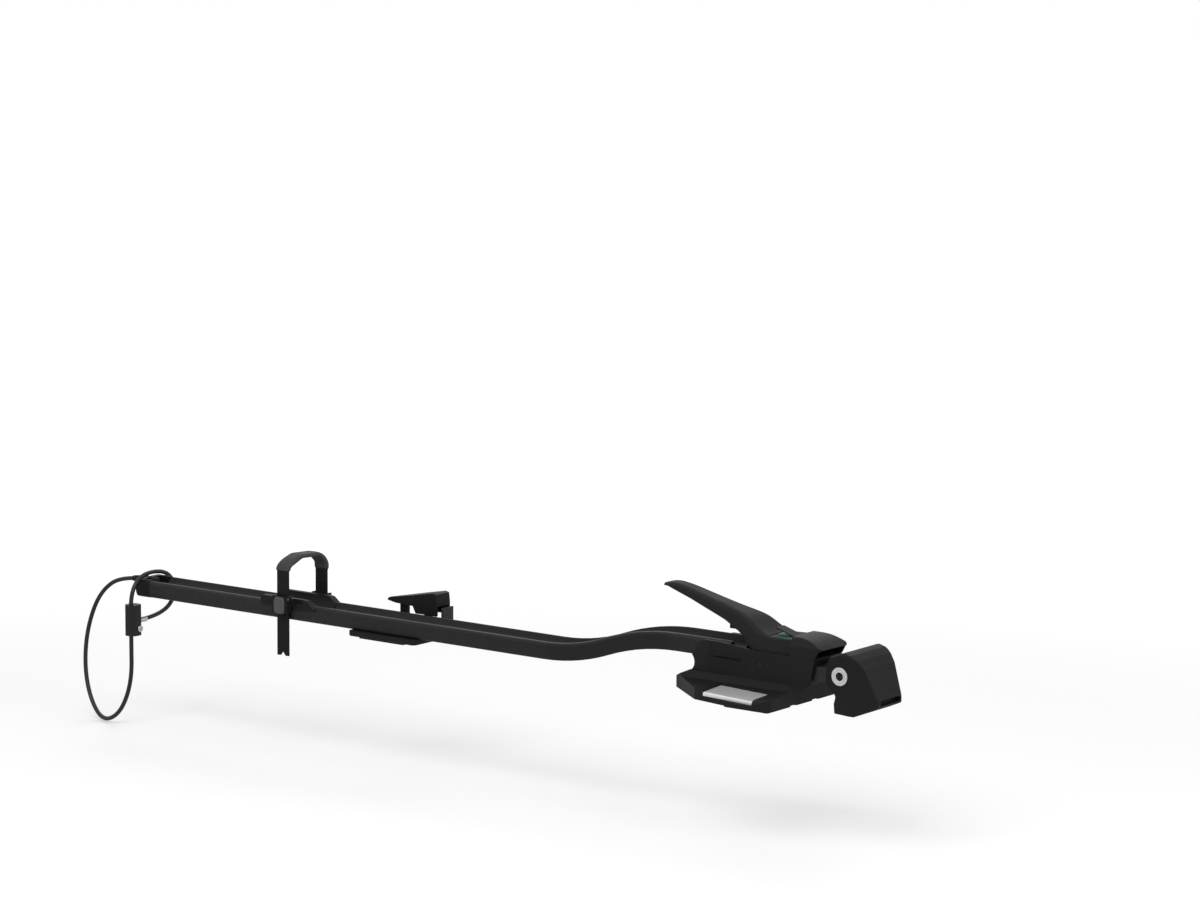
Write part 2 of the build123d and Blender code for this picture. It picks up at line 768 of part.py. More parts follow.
with BuildPart() as foot_base:
    with BuildSketch(Plane.XY) as foot_plan:
        with BuildLine():
            foot_outline = [
                (foot_tail_x + foot_length * along, foot_width / 2 * across)
                for along, across in foot_plan_shares
            ]
            Polyline(*mirrored(foot_outline + [(foot_nose_x - overrun, foot_front_half_width)]), close=True)
        make_face()
        toes = foot_plan.vertices().filter_by(lambda corner: corner.X > foot_nose_x - running_gap)
        fillet(toes, foot_toe_radius)
        wing_corners = foot_plan.vertices().filter_by(lambda corner: corner.X < plate_centre_x)
        fillet(wing_corners, foot_corner_radius)
    extrude(amount=reach_through, both=True)
    with BuildSketch(plane_at_x(foot_tail_x)) as foot_section:
        with BuildLine():
            wing = [
                (head_half, head_floor_z),
                (foot_root_half_width, foot_root_z),
                (foot_width / 2, foot_rim_z),
                (foot_width / 2, foot_sole_z),
            ]
            Polyline(*wing, *[(-across, up) for across, up in reversed(wing)], close=True)
        make_face()
        wing_tips = foot_section.vertices().filter_by(lambda corner: abs(corner.X) > plate_centre_y)
        fillet(wing_tips.filter_by(lambda corner: corner.Y > foot_rim_z - running_gap), foot_rim_radius)
        fillet(wing_tips.filter_by(lambda corner: corner.Y < foot_sole_z + running_gap), foot_edge_radius)
    extrude(amount=foot_length, both=True, mode=Mode.INTERSECT)
    with BuildSketch(plane_at_y(0)):
        with BuildLine():
            Polyline(
                (foot_tail_x + foot_edge_radius, foot_sole_z),
                (foot_tail_x, foot_rim_z - foot_edge_radius),
                (foot_tail_x + foot_edge_radius, foot_rim_z),
                (head_tail_x, head_floor_z),
                (foot_nose_x, head_floor_z),
                (foot_nose_x, foot_sole_z),
                close=True,
            )
        make_face()
    extrude(amount=foot_width, both=True, mode=Mode.INTERSECT)
    for side in (1, -1):
        with BuildSketch(plate_plane(side, plate_sink + plate_thickness + seat_gap)):
            with Locations((0, side * plate_lip / 2)):
                Rectangle(plate_length + 2 * seat_gap, plate_width + 2 * seat_gap + plate_lip)
        extrude(amount=head_floor_z, mode=Mode.SUBTRACT)
        with BuildSketch(plate_plane(side, plate_sink + plate_lip + seat_gap)):
            with Locations((0, side * (plate_width / 2 + plate_lip))):
                Rectangle(plate_length + 2 * seat_gap, 2 * plate_lip + 2 * plate_thickness)
        extrude(amount=head_floor_z, mode=Mode.SUBTRACT)
    with Locations((0, 0, head_floor_z)):
        Hole(bolt_radius + running_gap, reach_through)
foot_base.part.label = "foot_base"
export_step(foot_base.part, "parts/foot_base.step")


# The metal plates on the wings, each with its outer edge rolled down
for side, label in ((1, "foot_plate_far"), (-1, "foot_plate_near")):
    with BuildPart() as foot_plate:
        with BuildSketch(plate_plane(side, plate_sink + plate_thickness)):
            Rectangle(plate_length, plate_width)
        extrude(amount=plate_thickness)
        with BuildSketch(plate_plane(side, plate_sink + plate_lip)):
            with Locations((0, side * (plate_width - plate_thickness) / 2)):
                Rectangle(plate_length, plate_thickness)
        extrude(amount=plate_lip)
        long_edges = foot_plate.edges().filter_by(lambda edge: edge.length > plate_width)
        bend = long_edges.sort_by(lambda edge: side * edge.center().Y + edge.center().Z)[-1]
        fillet(bend, plate_bend_radius)
    foot_plate.part.label = label
    export_step(foot_plate.part, f"parts/{label}.step")


# The rubber pads that sit on the crossbar
with BuildPart() as foot_pads:
    with BuildSketch(Plane.XY):
        with Locations((0, pad_inner_y + pad_width / 2), (0, -pad_inner_y - pad_width / 2)):
            RectangleRounded(pad_length, pad_width, foot_edge_radius)
        with Locations((0, 0)):
            RectangleRounded(pad_length, pad_centre_width, foot_edge_radius)
            Circle(bolt_neck_width, mode=Mode.SUBTRACT)
    extrude(amount=foot_sole_z)
foot_pads.part.label = "foot_pads"
export_step(foot_pads.part, "parts/foot_pads.step")


# The clamping lever: a tapering handle over a broad hollow heel
lever_tip_x = pivot_x - lever_length
lever_base_half = lever_base_width / 2
heel_angle = math.radians(lever_heel_angle)
lever_heel_x = pivot_x + lever_front_radius * math.cos(heel_angle)
lever_heel_z = pivot_z - lever_front_radius * math.sin(heel_angle)
lever_crown_shares = [
    (0.0, 0.955, 0.25, 0.05),
    (0.03, 1.0, 0.36, 0.09),
    (0.08, 1.03, 0.42, 0.13),
    (0.14, 1.01, 0.46, 0.17),
    (0.24, 0.94, 0.505, 0.2),
    (0.34, 0.855, 0.55, 0.22),
    (0.46, 0.755, 0.595, 0.24),
    (0.58, 0.655, 0.67, 0.3),
    (0.67, 0.575, 0.78, 0.42),
    (0.74, 0.475, 0.93, 0.6),
    (0.8, 0.345, 1.0, 0.72),
    (0.86, 0.24, 1.0, 0.78),
    (0.9, 0.2, 1.0, 0.8),
]
lever_crown_drop_share = 0.62
lever_crown_curve_shares = (0.97, 0.3, 0.45)
lever_deck_shares = [(0.84, 0.36), (0.9, 0.185)]
lever_under_shares = [
    (0.93, -0.21),
    (0.79, -0.21),
    (0.73, -0.02),
    (0.69, 0.11),
    (0.53, 0.38),
    (0.24, 0.73),
    (0.05, 0.925),
    (0.0, 0.925),
]


def lever_side_points(shares):
    """Points of the lever's side view, from shares of its length and height over the pivot."""
    return [(lever_tip_x + lever_length * along, pivot_z + lever_height * up) for along, up in shares]


def lever_under_z(x):
    """Height of the lever's underside at a place along it."""
    points = lever_side_points(lever_under_shares)
    for (front_x, front_z), (tail_x, tail_z) in zip(points, points[1:]):
        if x >= tail_x:
            break
    return front_z + (tail_z - front_z) * (front_x - x) / (front_x - tail_x)


lever_tooth_root_z = lever_under_z(lever_tooth_x) + lever_skin
lever_deck = lever_side_points(lever_deck_shares)
lever_deck_x, lever_top_z = lever_deck[-1]
lever_front_top_x = pivot_x + math.sqrt(lever_front_radius ** 2 - (lever_top_z - pivot_z) ** 2)
lever_roof_z = pivot_z + 2 * lever_height
lever_low_z = pivot_z - 2 * lever_front_radius
lever_level_stations = 2
lever_stations = [(lever_tip_x + lever_length * along, *shares) for along, *shares in lever_crown_shares]
for step in range(lever_level_stations + 1):
    level_x = lever_deck_x + lever_front_radius + step * lever_front_radius
    lever_stations.append((level_x, *lever_crown_shares[-1][1:]))


def lever_crown(skin):
    """The lever's crowned form over a level underside, shrunk by a skin."""
    side_share, low_share, top_share = lever_crown_curve_shares
    with BuildPart() as crown:
        for x, top, across, flat in lever_stations:
            half = lever_base_half * across - skin
            flat_half = half * flat / across
            crown_z = pivot_z + lever_height * top - skin
            drop = (half - flat_half) * lever_crown_drop_share
            shoulder = [
                (half, crown_z - drop),
                (half * side_share, crown_z - drop * low_share),
                (flat_half + (half - flat_half) * top_share, crown_z),
                (flat_half, crown_z),
            ]
            with BuildSketch(plane_at_x(x)):
                with BuildLine():
                    far = Bezier(*shoulder)
                    near = Bezier(*[(-y, z) for y, z in shoulder])
                    Line(far @ 1, near @ 1)
                    Polyline(near @ 0, (-half, lever_low_z), (half, lever_low_z), far @ 0)
                make_face()
        loft()
    return crown.part


with BuildPart() as lever_cavity:
    add(lever_crown(lever_skin))
    with BuildSketch(plane_at_y(0)):
        with BuildLine():
            Polyline(
                (lever_tip_x + lever_tip_wall, lever_roof_z),
                (pivot_x, lever_roof_z),
                (pivot_x, pivot_z),
                (pivot_x + lever_length, pivot_z),
                (pivot_x + lever_length, 0),
                (lever_tip_x + lever_tip_wall, 0),
                close=True,
            )
        make_face()
        with Locations((pivot_x, pivot_z)):
            Circle(lever_front_radius - lever_skin)
    extrude(amount=lever_base_half - lever_skin, both=True, mode=Mode.INTERSECT)
    with BuildSketch(Plane.XY):
        with Locations((lever_tooth_x + lever_tooth_length / 2, 0)):
            Rectangle(lever_tooth_length, lever_tooth_width)
    extrude(amount=reach_through, mode=Mode.SUBTRACT)

with BuildPart() as clamp_lever:
    add(lever_crown(0))
    with BuildSketch(plane_at_y(0)):
        with BuildLine():
            roof = Polyline(
                (lever_tip_x, lever_roof_z),
                (lever_deck[0][0], lever_roof_z),
                *lever_deck,
                (lever_front_top_x, lever_top_z),
            )
            front = ThreePointArc(
                roof @ 1,
                (pivot_x + lever_front_radius, pivot_z),
                (lever_heel_x, lever_heel_z),
            )
            Polyline(front @ 1, *lever_side_points(lever_under_shares), roof @ 0)
        make_face()
    extrude(amount=lever_base_half, both=True, mode=Mode.INTERSECT)
    add(lever_cavity.part, mode=Mode.SUBTRACT)
    for side in (1, -1):
        with BuildSketch(plane_at_y(side * lever_rib_inner_y)):
            with Locations((pivot_x, pivot_z)):
                Circle(lever_rib_radius)
            with Locations((pivot_x, pivot_z + (lever_top_z - lever_skin / 2 - pivot_z) / 2)):
                Rectangle(2 * lever_rib_radius, lever_top_z - lever_skin / 2 - pivot_z)
        extrude(amount=-side * (lever_rib_outer_y - lever_rib_inner_y))
    with BuildSketch(plane_at_y(0)):
        with Locations((lever_tooth_x + lever_tooth_length / 2, (lever_tooth_z + lever_tooth_root_z) / 2)):
            Rectangle(lever_tooth_length, lever_tooth_root_z - lever_tooth_z)
    extrude(amount=lever_tooth_width / 2, both=True)
    with Locations(Plane(origin=(pivot_x, 0, pivot_z), z_dir=(0, 1, 0))):
        Cylinder(lever_pin_radius, 2 * lever_rib_outer_y + overrun, mode=Mode.SUBTRACT)
clamp_lever.part.label = "clamp_lever"
export_step(clamp_lever.part, "parts/clamp_lever.step")


# The lever's cams: steel discs set off the pin, so that they lift it as the lever closes
with BuildPart() as lever_cams:
    for side in (1, -1):
        with BuildSketch(plane_at_y(side * cam_inner_y)):
            with Locations((cam_centre_x, pivot_z)):
                Circle(cam_radius)
            with Locations((pivot_x, pivot_z)):
                Circle(lever_pin_radius, mode=Mode.SUBTRACT)
        extrude(amount=-side * cam_thickness)
lever_cams.part.label = "lever_cams"
export_step(lever_cams.part, "parts/lever_cams.step")


# The pin through the lever, its cams and the draw bar's eye
with BuildPart() as lever_pin:
    with Locations(Plane(origin=(pivot_x, 0, pivot_z), z_dir=(0, 1, 0))):
        Cylinder(lever_pin_radius, 2 * lever_rib_outer_y)
lever_pin.part.label = "lever_pin"
export_step(lever_pin.part, "parts/lever_pin.step")


# The bar that hangs on the lever's pin and carries the T-bolt
draw_front_x = pivot_x + draw_shank_width / 2
with BuildPart() as draw_bar:
    with BuildSketch(plane_at_y(0)):
        with Locations((pivot_x, pivot_z)):
            Circle(draw_eye_radius)
        with Locations((pivot_x, (pivot_z + draw_foot_z) / 2)):
            Rectangle(draw_shank_width, pivot_z - draw_foot_z)
        with Locations(((draw_front_x - draw_foot_tail) / 2, draw_foot_z + draw_foot_height / 2)):
            Rectangle(draw_front_x + draw_foot_tail, draw_foot_height)
        with Locations((pivot_x, pivot_z)):
            Circle(lever_pin_radius + pin_gap, mode=Mode.SUBTRACT)
    extrude(amount=draw_thickness / 2, both=True)
    with Locations((0, 0, draw_foot_z + draw_foot_height)):
        Hole(bolt_radius + pin_gap, draw_foot_height)
draw_bar.part.label = "draw_bar"
export_step(draw_bar.part, "parts/draw_bar.step")


def t_bolt(x, y, radius, top_z, label):
    """A T-bolt: its head lies in the crossbar's slot and its shank rises to a height."""
    with BuildPart() as bolt:
        with BuildSketch(Plane.XY.offset(bolt_head_z)):
            with Locations((x, y)):
                RectangleRounded(bolt_head_width, bolt_head_length, bolt_head_thickness / 2)
        extrude(amount=-bolt_head_thickness)
        with BuildSketch(Plane.XY.offset(bolt_head_z)):
            with Locations((x, y)):
                Rectangle(bolt_neck_width, bolt_neck_width)
        extrude(amount=bolt_neck_length)
        with BuildSketch(Plane.XY.offset(bolt_head_z)):
            with Locations((x, y)):
                Circle(radius)
        extrude(amount=top_z - bolt_head_z)
    bolt.part.label = label
    return bolt.part


def hex_nut(x, y, z, radius, across_flats, height, label):
    """A hexagon nut that sits on a height, round a bolt."""
    with BuildPart() as nut:
        with BuildSketch(Plane.XY.offset(z)):
            with Locations((x, y)):
                RegularPolygon(across_flats / 2, 6, major_radius=False)
                Circle(radius + pin_gap, mode=Mode.SUBTRACT)
        extrude(amount=height)
    nut.part.label = label
    return nut.part


draw_foot_top_z = draw_foot_z + draw_foot_height
export_step(
    t_bolt(0, 0, bolt_radius, draw_foot_top_z + nut_height + bolt_end_length, "front_t_bolt"),
    "parts/front_t_bolt.step",
)
export_step(
    hex_nut(0, 0, draw_foot_top_z, bolt_radius, nut_across_flats, nut_height, "front_t_nut"),
    "parts/front_t_nut.step",
)


# The green indicator, let into the top of the lever's heel
indicator_z = lever_top_z
indicator_x = lever_deck_x + indicator_inset
with BuildPart() as lever_indicator:
    with BuildSketch(Plane.XY.offset(indicator_z)):
        with Locations((indicator_x + indicator_length / 2, 0)):
            RectangleRounded(indicator_length, indicator_width, indicator_thickness)
    extrude(amount=indicator_proud)
    fillet(lever_indicator.faces().sort_by(Axis.Z)[-1].edges(), indicator_proud / 2)
lever_indicator.part.label = "lever_indicator"
export_step(lever_indicator.part, "parts/lever_indicator.step")


# The fork block, which stands between the bicycle's fork ends
block_length = block_front_x - block_rear_x
block_side_shares = [
    (0.0, 0.47),
    (0.0, 0.76),
    (0.12, 0.9),
    (0.4, 1.0),
    (0.53, 0.965),
    (0.66, 0.885),
    (0.77, 0.76),
    (1.0, 0.22),
    (0.965, 0.14),
    (0.62, 0.0),
    (0.255, 0.02),
    (0.24, 0.17),
    (0.27, 0.28),
    (0.24, 0.35),
]
block_plan_shares = [
    (0.0, 0.8),
    (0.2, 1.0),
    (0.56, 1.0),
    (1.0, 0.64),
]
with BuildPart() as fork_block:
    with BuildSketch(plane_at_y(0)) as block_side:
        with BuildLine():
            Polyline(
                *[
                    (block_rear_x + block_length * along, block_foot_z + block_height * up)
                    for along, up in block_side_shares
                ],
                close=True,
            )
        make_face()
        fillet(block_side.vertices().filter_by(lambda corner: corner.Y > axle_z), block_crown_radius)
    extrude(amount=block_width / 2, both=True)
    with BuildSketch(Plane.XY) as block_plan:
        with BuildLine():
            Polyline(
                *mirrored([
                    (block_rear_x + block_length * along, block_width / 2 * across)
                    for along, across in block_plan_shares
                ]),
                close=True,
            )
        make_face()
        fillet(block_plan.vertices().group_by(Axis.X)[-1], block_plan_radius)
        creases = block_plan.vertices().filter_by(lambda corner: abs(corner.Y) > block_width / 2 - running_gap)
        fillet(creases, block_crease_radius)
    extrude(amount=reach_through, mode=Mode.INTERSECT)
    crown_faces = fork_block.faces().filter_by(
        lambda face: face.normal_at().Z > 0 and face.center().Z > beam_bottom_z
    )
    fillet(crown_faces.edges().filter_by(Axis.Y, reverse=True), block_edge_radius)
    with BuildSketch(plane_at_x(block_front_x, block_recess_z)):
        with Locations((0, block_recess_height / 2)):
            RectangleRounded(block_recess_width, block_recess_height, block_recess_height / 3)
    extrude(amount=-2 * block_recess_depth, mode=Mode.SUBTRACT)
    with BuildSketch(plane_at_x(block_rear_x - overrun, beam_bottom_z)):
        with Locations((0, (beam_top_z - beam_bottom_z) / 2)):
            Rectangle(chassis_width + 2 * socket_gap, beam_top_z - beam_bottom_z + 2 * socket_gap)
    extrude(amount=beam_end_x - block_rear_x + overrun + socket_gap, mode=Mode.SUBTRACT)
    with Locations(Plane(origin=(axle_x, 0, axle_z), z_dir=(0, 1, 0))):
        Cylinder(axle_sleeve_radius + pin_gap, 2 * block_width, mode=Mode.SUBTRACT)
    for side in (1, -1):
        with Locations(Plane(origin=(axle_x, side * block_width / 2, axle_z), z_dir=(0, 1, 0))):
            Cylinder(axle_collar_radius + pin_gap, 2 * axle_collar_seat, mode=Mode.SUBTRACT)
fork_block.part.label = "fork_block"
export_step(fork_block.part, "parts/fork_block.step")


# The steel sleeve that a fork's axle goes through, and the collars at its ends
with BuildPart() as axle_sleeve:
    with BuildSketch(Plane(origin=(axle_x, -axle_sleeve_length / 2, axle_z), z_dir=(0, 1, 0))):
        Circle(axle_sleeve_radius)
        Circle(axle_bore_radius, mode=Mode.SUBTRACT)
    extrude(amount=axle_sleeve_length)
axle_sleeve.part.label = "axle_sleeve"
export_step(axle_sleeve.part, "parts/axle_sleeve.step")

with BuildPart() as axle_collars:
    for side in (1, -1):
        with BuildSketch(Plane(origin=(axle_x, side * axle_sleeve_length / 2, axle_z), z_dir=(0, side, 0))):
            Circle(axle_collar_radius)
            Circle(axle_sleeve_radius + pin_gap, mode=Mode.SUBTRACT)
        extrude(amount=-(axle_sleeve_length - block_width) / 2 - axle_collar_seat)
axle_collars.part.label = "axle_collars"
export_step(axle_collars.part, "parts/axle_collars.step")


# The rear clamp's base, under the tray
with BuildPart() as rear_clamp_base:
    with BuildSketch(Plane.XY.offset(rear_base_bottom_z)):
        with Locations((rear_base_centre_x, (rear_base_near_y + rear_base_far_y) / 2)):
            RectangleRounded(rear_base_length, rear_base_far_y - rear_base_near_y, rear_base_corner_radius)
    extrude(amount=tray_floor_z - running_gap - rear_base_bottom_z)
    chamfer(rear_clamp_base.faces().sort_by(Axis.Z)[0].edges(), rear_base_edge)
    with Locations((rear_bar_x, rear_pivot_y, tray_floor_z)):
        Hole(rear_bolt_radius + running_gap, reach_through)
    for side in (1, -1):
        with BuildSketch(Plane.XY.offset(rear_base_bottom_z)):
            with Locations((rear_base_centre_x + side * shoe_screw_spacing / 2, 0)):
                Circle(shoe_screw_radius + pin_gap)
        extrude(amount=reach_through, mode=Mode.SUBTRACT)
        with BuildSketch(Plane.XY.offset(rear_base_bottom_z)):
            with Locations((rear_base_centre_x + side * shoe_screw_spacing / 2, 0)):
                Circle(shoe_screw_head_radius + running_gap)
        extrude(amount=shoe_screw_head_height + seat_gap, mode=Mode.SUBTRACT)
rear_clamp_base.part.label = "rear_clamp_base"
export_step(rear_clamp_base.part, "parts/rear_clamp_base.step")

with BuildPart() as rear_clamp_pad:
    with BuildSketch(Plane.XY):
        with Locations((rear_bar_x, (rear_base_near_y + rear_base_far_y) / 2)):
            RectangleRounded(
                rear_pad_length,
                rear_base_far_y - rear_base_near_y - rear_base_corner_radius,
                rear_base_corner_radius / 2,
            )
        with Locations((rear_bar_x, rear_pivot_y)):
            Circle(bolt_neck_width, mode=Mode.SUBTRACT)
    extrude(amount=rear_base_bottom_z)
rear_clamp_pad.part.label = "rear_clamp_pad"
export_step(rear_clamp_pad.part, "parts/rear_clamp_pad.step")


# The shoe that slides in the tray's T-slot and holds the rear clamp to it
shoe_head_z = tray_floor_z + tray_wall + shoe_gap
shoe_screw_xs = [rear_base_centre_x + side * shoe_screw_spacing / 2 for side in (-1, 1)]
with BuildPart() as rear_slide_shoe:
    with BuildSketch(Plane.XY.offset(shoe_head_z)):
        with Locations((rear_base_centre_x, 0)):
            Rectangle(shoe_length, slot_width - 2 * shoe_gap)
    extrude(amount=shoe_head_height)
    with BuildSketch(Plane.XY.offset(tray_floor_z - running_gap)):
        with Locations((rear_base_centre_x, 0)):
            Rectangle(shoe_length, slot_mouth_width - 2 * shoe_gap)
    extrude(amount=shoe_head_z - tray_floor_z + running_gap)
    with Locations(*[(x, 0, shoe_head_z + shoe_head_height) for x in shoe_screw_xs]):
        Hole(shoe_screw_radius + pin_gap, reach_through)
rear_slide_shoe.part.label = "rear_slide_shoe"
export_step(rear_slide_shoe.part, "parts/rear_slide_shoe.step")

with BuildPart() as rear_shoe_screws:
    for screw_x in shoe_screw_xs:
        with BuildSketch(Plane.XY.offset(rear_base_bottom_z + seat_gap)):
            with Locations((screw_x, 0)):
                Circle(shoe_screw_head_radius)
        extrude(amount=shoe_screw_head_height)
        with BuildSketch(Plane.XY.offset(rear_base_bottom_z + seat_gap)):
            with Locations((screw_x, 0)):
                Circle(shoe_screw_radius)
        extrude(amount=shoe_head_z + shoe_head_height - rear_base_bottom_z - seat_gap)
rear_shoe_screws.part.label = "rear_shoe_screws"
export_step(rear_shoe_screws.part, "parts/rear_shoe_screws.step")


# The block on the base's far side, whose two pillars the rear lever's cams press on
rear_bracket_z = tray_floor_z - running_gap
rear_cam_inner = rear_draw_thickness / 2 + running_gap
rear_pillar_half = rear_cam_inner + rear_cam_thickness
rear_seat_z = rear_pivot_z - rear_cam_radius - cam_lift_gap
rear_cam_x = rear_pivot_x - rear_cam_offset
with BuildPart() as rear_bracket:
    with BuildSketch(plane_at_y(rear_pivot_y)):
        with Locations((rear_cam_x, (rear_seat_z + rear_bracket_z) / 2)):
            Rectangle(rear_pillar_length, rear_seat_z - rear_bracket_z)
        with Locations((rear_cam_x, rear_bracket_z + rear_bracket_foot / 2)):
            Rectangle(rear_bracket_length, rear_bracket_foot)
    extrude(amount=rear_pillar_half, both=True)
    fillet(rear_bracket.edges().filter_by(Axis.Y).group_by(Axis.Z)[1], rear_bracket_foot / 2)
    with BuildSketch(Plane.XY.offset(rear_bracket_z)):
        with Locations((rear_cam_x, rear_pivot_y)):
            Rectangle(2 * rear_bracket_length, 2 * rear_cam_inner)
    extrude(amount=rear_seat_z, mode=Mode.SUBTRACT)
    with BuildSketch(plane_at_y(rear_pivot_y)):
        with BuildLine():
            shield_x = rear_pivot_x + rear_shield_reach
            Polyline(
                (rear_cam_x + rear_bracket_length / 2, rear_bracket_z),
                (rear_cam_x + rear_bracket_length / 2, rear_bracket_z + rear_shield_wall),
                (shield_x, rear_bracket_z + rear_shield_wall),
                (shield_x, rear_shield_top_z),
                (shield_x + rear_shield_wall, rear_shield_top_z),
                (shield_x + rear_shield_wall, rear_bracket_z),
                close=True,
            )
        make_face()
    extrude(amount=rear_lever_width / 2, both=True)
rear_bracket.part.label = "rear_bracket"
export_step(rear_bracket.part, "parts/rear_bracket.step")

with BuildPart() as rear_catch:
    with BuildSketch(Plane.XY.offset(rear_bracket_z)):
        with Locations((catch_x, rear_pivot_y)):
            RectangleRounded(catch_length, catch_width, catch_edge)
    extrude(amount=catch_top_z - rear_bracket_z)
    chamfer(rear_catch.faces().sort_by(Axis.Z)[-1].edges(), catch_edge)
rear_catch.part.label = "rear_catch"
export_step(rear_catch.part, "parts/rear_catch.step")


# The rear cam lever, closed: a wing that tapers to a point towards the tail
rear_lever_tip_x = rear_pivot_x + rear_well_length / 2 + rear_lever_skin - rear_lever_length
rear_lever_side_shares = [
    (0.0, -0.06),
    (0.05, 0.06),
    (0.93, 0.55),
    (0.985, 0.5),
    (1.0, 0.15),
    (1.0, -0.38),
    (0.62, -0.38),
    (0.56, -0.1),
    (0.2, -0.12),
]
rear_lever_plan_shares = [
    (0.0, 0.12),
    (0.03, 0.3),
    (0.3, 0.7),
    (0.52, 1.1),
    (0.6, 1.25),
    (1.0, 1.25),
]
rear_lever_plan = [
    (rear_lever_tip_x + rear_lever_length * along, rear_lever_width / 2 * across)
    for along, across in rear_lever_plan_shares
]
rear_lever_outline = [(x, rear_pivot_y + y) for x, y in rear_lever_plan] + [
    (x, rear_pivot_y - y) for x, y in reversed(rear_lever_plan)
]
rear_lever_side = [
    (rear_lever_tip_x + rear_lever_length * along, rear_pivot_z + rear_lever_height * up)
    for along, up in rear_lever_side_shares
]
rear_well_z = rear_pivot_z + rear_cam_radius + rear_well_gap
with BuildPart() as rear_lever:
    with BuildSketch(plane_at_y(rear_pivot_y)):
        with BuildLine():
            Polyline(*rear_lever_side, close=True)
        make_face()
    extrude(amount=rear_lever_width, both=True)
    with BuildSketch(Plane.XY):
        with BuildLine():
            Polyline(*rear_lever_outline, close=True)
        make_face()
    extrude(amount=reach_through, mode=Mode.INTERSECT)
    with BuildSketch(Plane.XY.offset(rear_well_z)):
        with Locations((rear_pivot_x, rear_pivot_y)):
            Rectangle(rear_well_length, rear_well_width)
    extrude(amount=-reach_through, mode=Mode.SUBTRACT)
    with BuildSketch(Plane.XY.offset(rear_pivot_z)):
        with Locations((rear_pivot_x + rear_well_length / 2, rear_pivot_y)):
            Rectangle(rear_well_length, rear_well_width)
    extrude(amount=-reach_through, mode=Mode.SUBTRACT)
    for side in (1, -1):
        with BuildSketch(plane_at_y(rear_pivot_y + side * (rear_pillar_half + running_gap))):
            with Locations((rear_pivot_x, rear_pivot_z)):
                Circle(rear_cam_radius)
            with Locations((rear_pivot_x, rear_pivot_z + rear_cam_radius / 2 + rear_well_gap)):
                Rectangle(2 * rear_cam_radius, rear_cam_radius + 2 * rear_well_gap)
        extrude(amount=-side * rear_lever_skin)
    with Locations(Plane(origin=(rear_pivot_x, rear_pivot_y, rear_pivot_z), z_dir=(0, 1, 0))):
        Cylinder(rear_pin_radius, rear_well_width, mode=Mode.SUBTRACT)
rear_lever.part.label = "rear_lever"
export_step(rear_lever.part, "parts/rear_lever.step")

with BuildPart() as rear_lever_cams:
    for side in (1, -1):
        with BuildSketch(plane_at_y(rear_pivot_y + side * rear_cam_inner)):
            with Locations((rear_cam_x, rear_pivot_z)):
                Circle(rear_cam_radius)
            with Locations((rear_pivot_x, rear_pivot_z)):
                Circle(rear_pin_radius, mode=Mode.SUBTRACT)
        extrude(amount=-side * rear_cam_thickness)
rear_lever_cams.part.label = "rear_lever_cams"
export_step(rear_lever_cams.part, "parts/rear_lever_cams.step")

with BuildPart() as rear_lever_pin:
    with Locations(Plane(origin=(rear_pivot_x, rear_pivot_y, rear_pivot_z), z_dir=(0, 1, 0))):
        Cylinder(rear_pin_radius, 2 * (rear_pillar_half + running_gap + rear_lever_skin))
rear_lever_pin.part.label = "rear_lever_pin"
export_step(rear_lever_pin.part, "parts/rear_lever_pin.step")


# The rear draw bar: an eye on the lever's pin, and a foot that reaches back over the T-bolt
rear_draw_top_z = rear_draw_foot_z + rear_draw_foot_height
rear_draw_half = rear_draw_shank_width / 2
with BuildPart() as rear_draw_bar:
    with BuildSketch(plane_at_y(rear_pivot_y)):
        with Locations((rear_pivot_x, rear_pivot_z)):
            Circle(rear_draw_eye_radius)
        with Locations((rear_pivot_x, (rear_pivot_z + rear_draw_foot_z) / 2)):
            Rectangle(2 * rear_draw_half, rear_pivot_z - rear_draw_foot_z)
        with Locations((
            (rear_bar_x - rear_draw_foot_tail + rear_pivot_x + rear_draw_half) / 2,
            (rear_draw_foot_z + rear_draw_top_z) / 2,
        )):
            Rectangle(
                rear_pivot_x + rear_draw_half - rear_bar_x + rear_draw_foot_tail,
                rear_draw_foot_height,
            )
        with Locations((rear_pivot_x, rear_pivot_z)):
            Circle(rear_pin_radius + pin_gap, mode=Mode.SUBTRACT)
    extrude(amount=rear_draw_thickness / 2, both=True)
    with BuildSketch(Plane.XY.offset(rear_draw_foot_z)):
        with Locations((rear_bar_x, rear_pivot_y)):
            Circle(rear_draw_foot_tail)
    extrude(amount=rear_draw_foot_height)
    with Locations((rear_bar_x, rear_pivot_y, rear_draw_top_z)):
        Hole(rear_bolt_radius + pin_gap, rear_draw_foot_height)
rear_draw_bar.part.label = "rear_draw_bar"
export_step(rear_draw_bar.part, "parts/rear_draw_bar.step")

export_step(
    t_bolt(
        rear_bar_x,
        rear_pivot_y,
        rear_bolt_radius,
        rear_draw_top_z + rear_nut_height + bolt_end_length,
        "rear_t_bolt",
    ),
    "parts/rear_t_bolt.step",
)
export_step(
    hex_nut(
        rear_bar_x,
        rear_pivot_y,
        rear_draw_top_z,
        rear_bolt_radius,
        rear_nut_across_flats,
        rear_nut_height,
        "rear_t_nut",
    ),
    "parts/rear_t_nut.step",
)


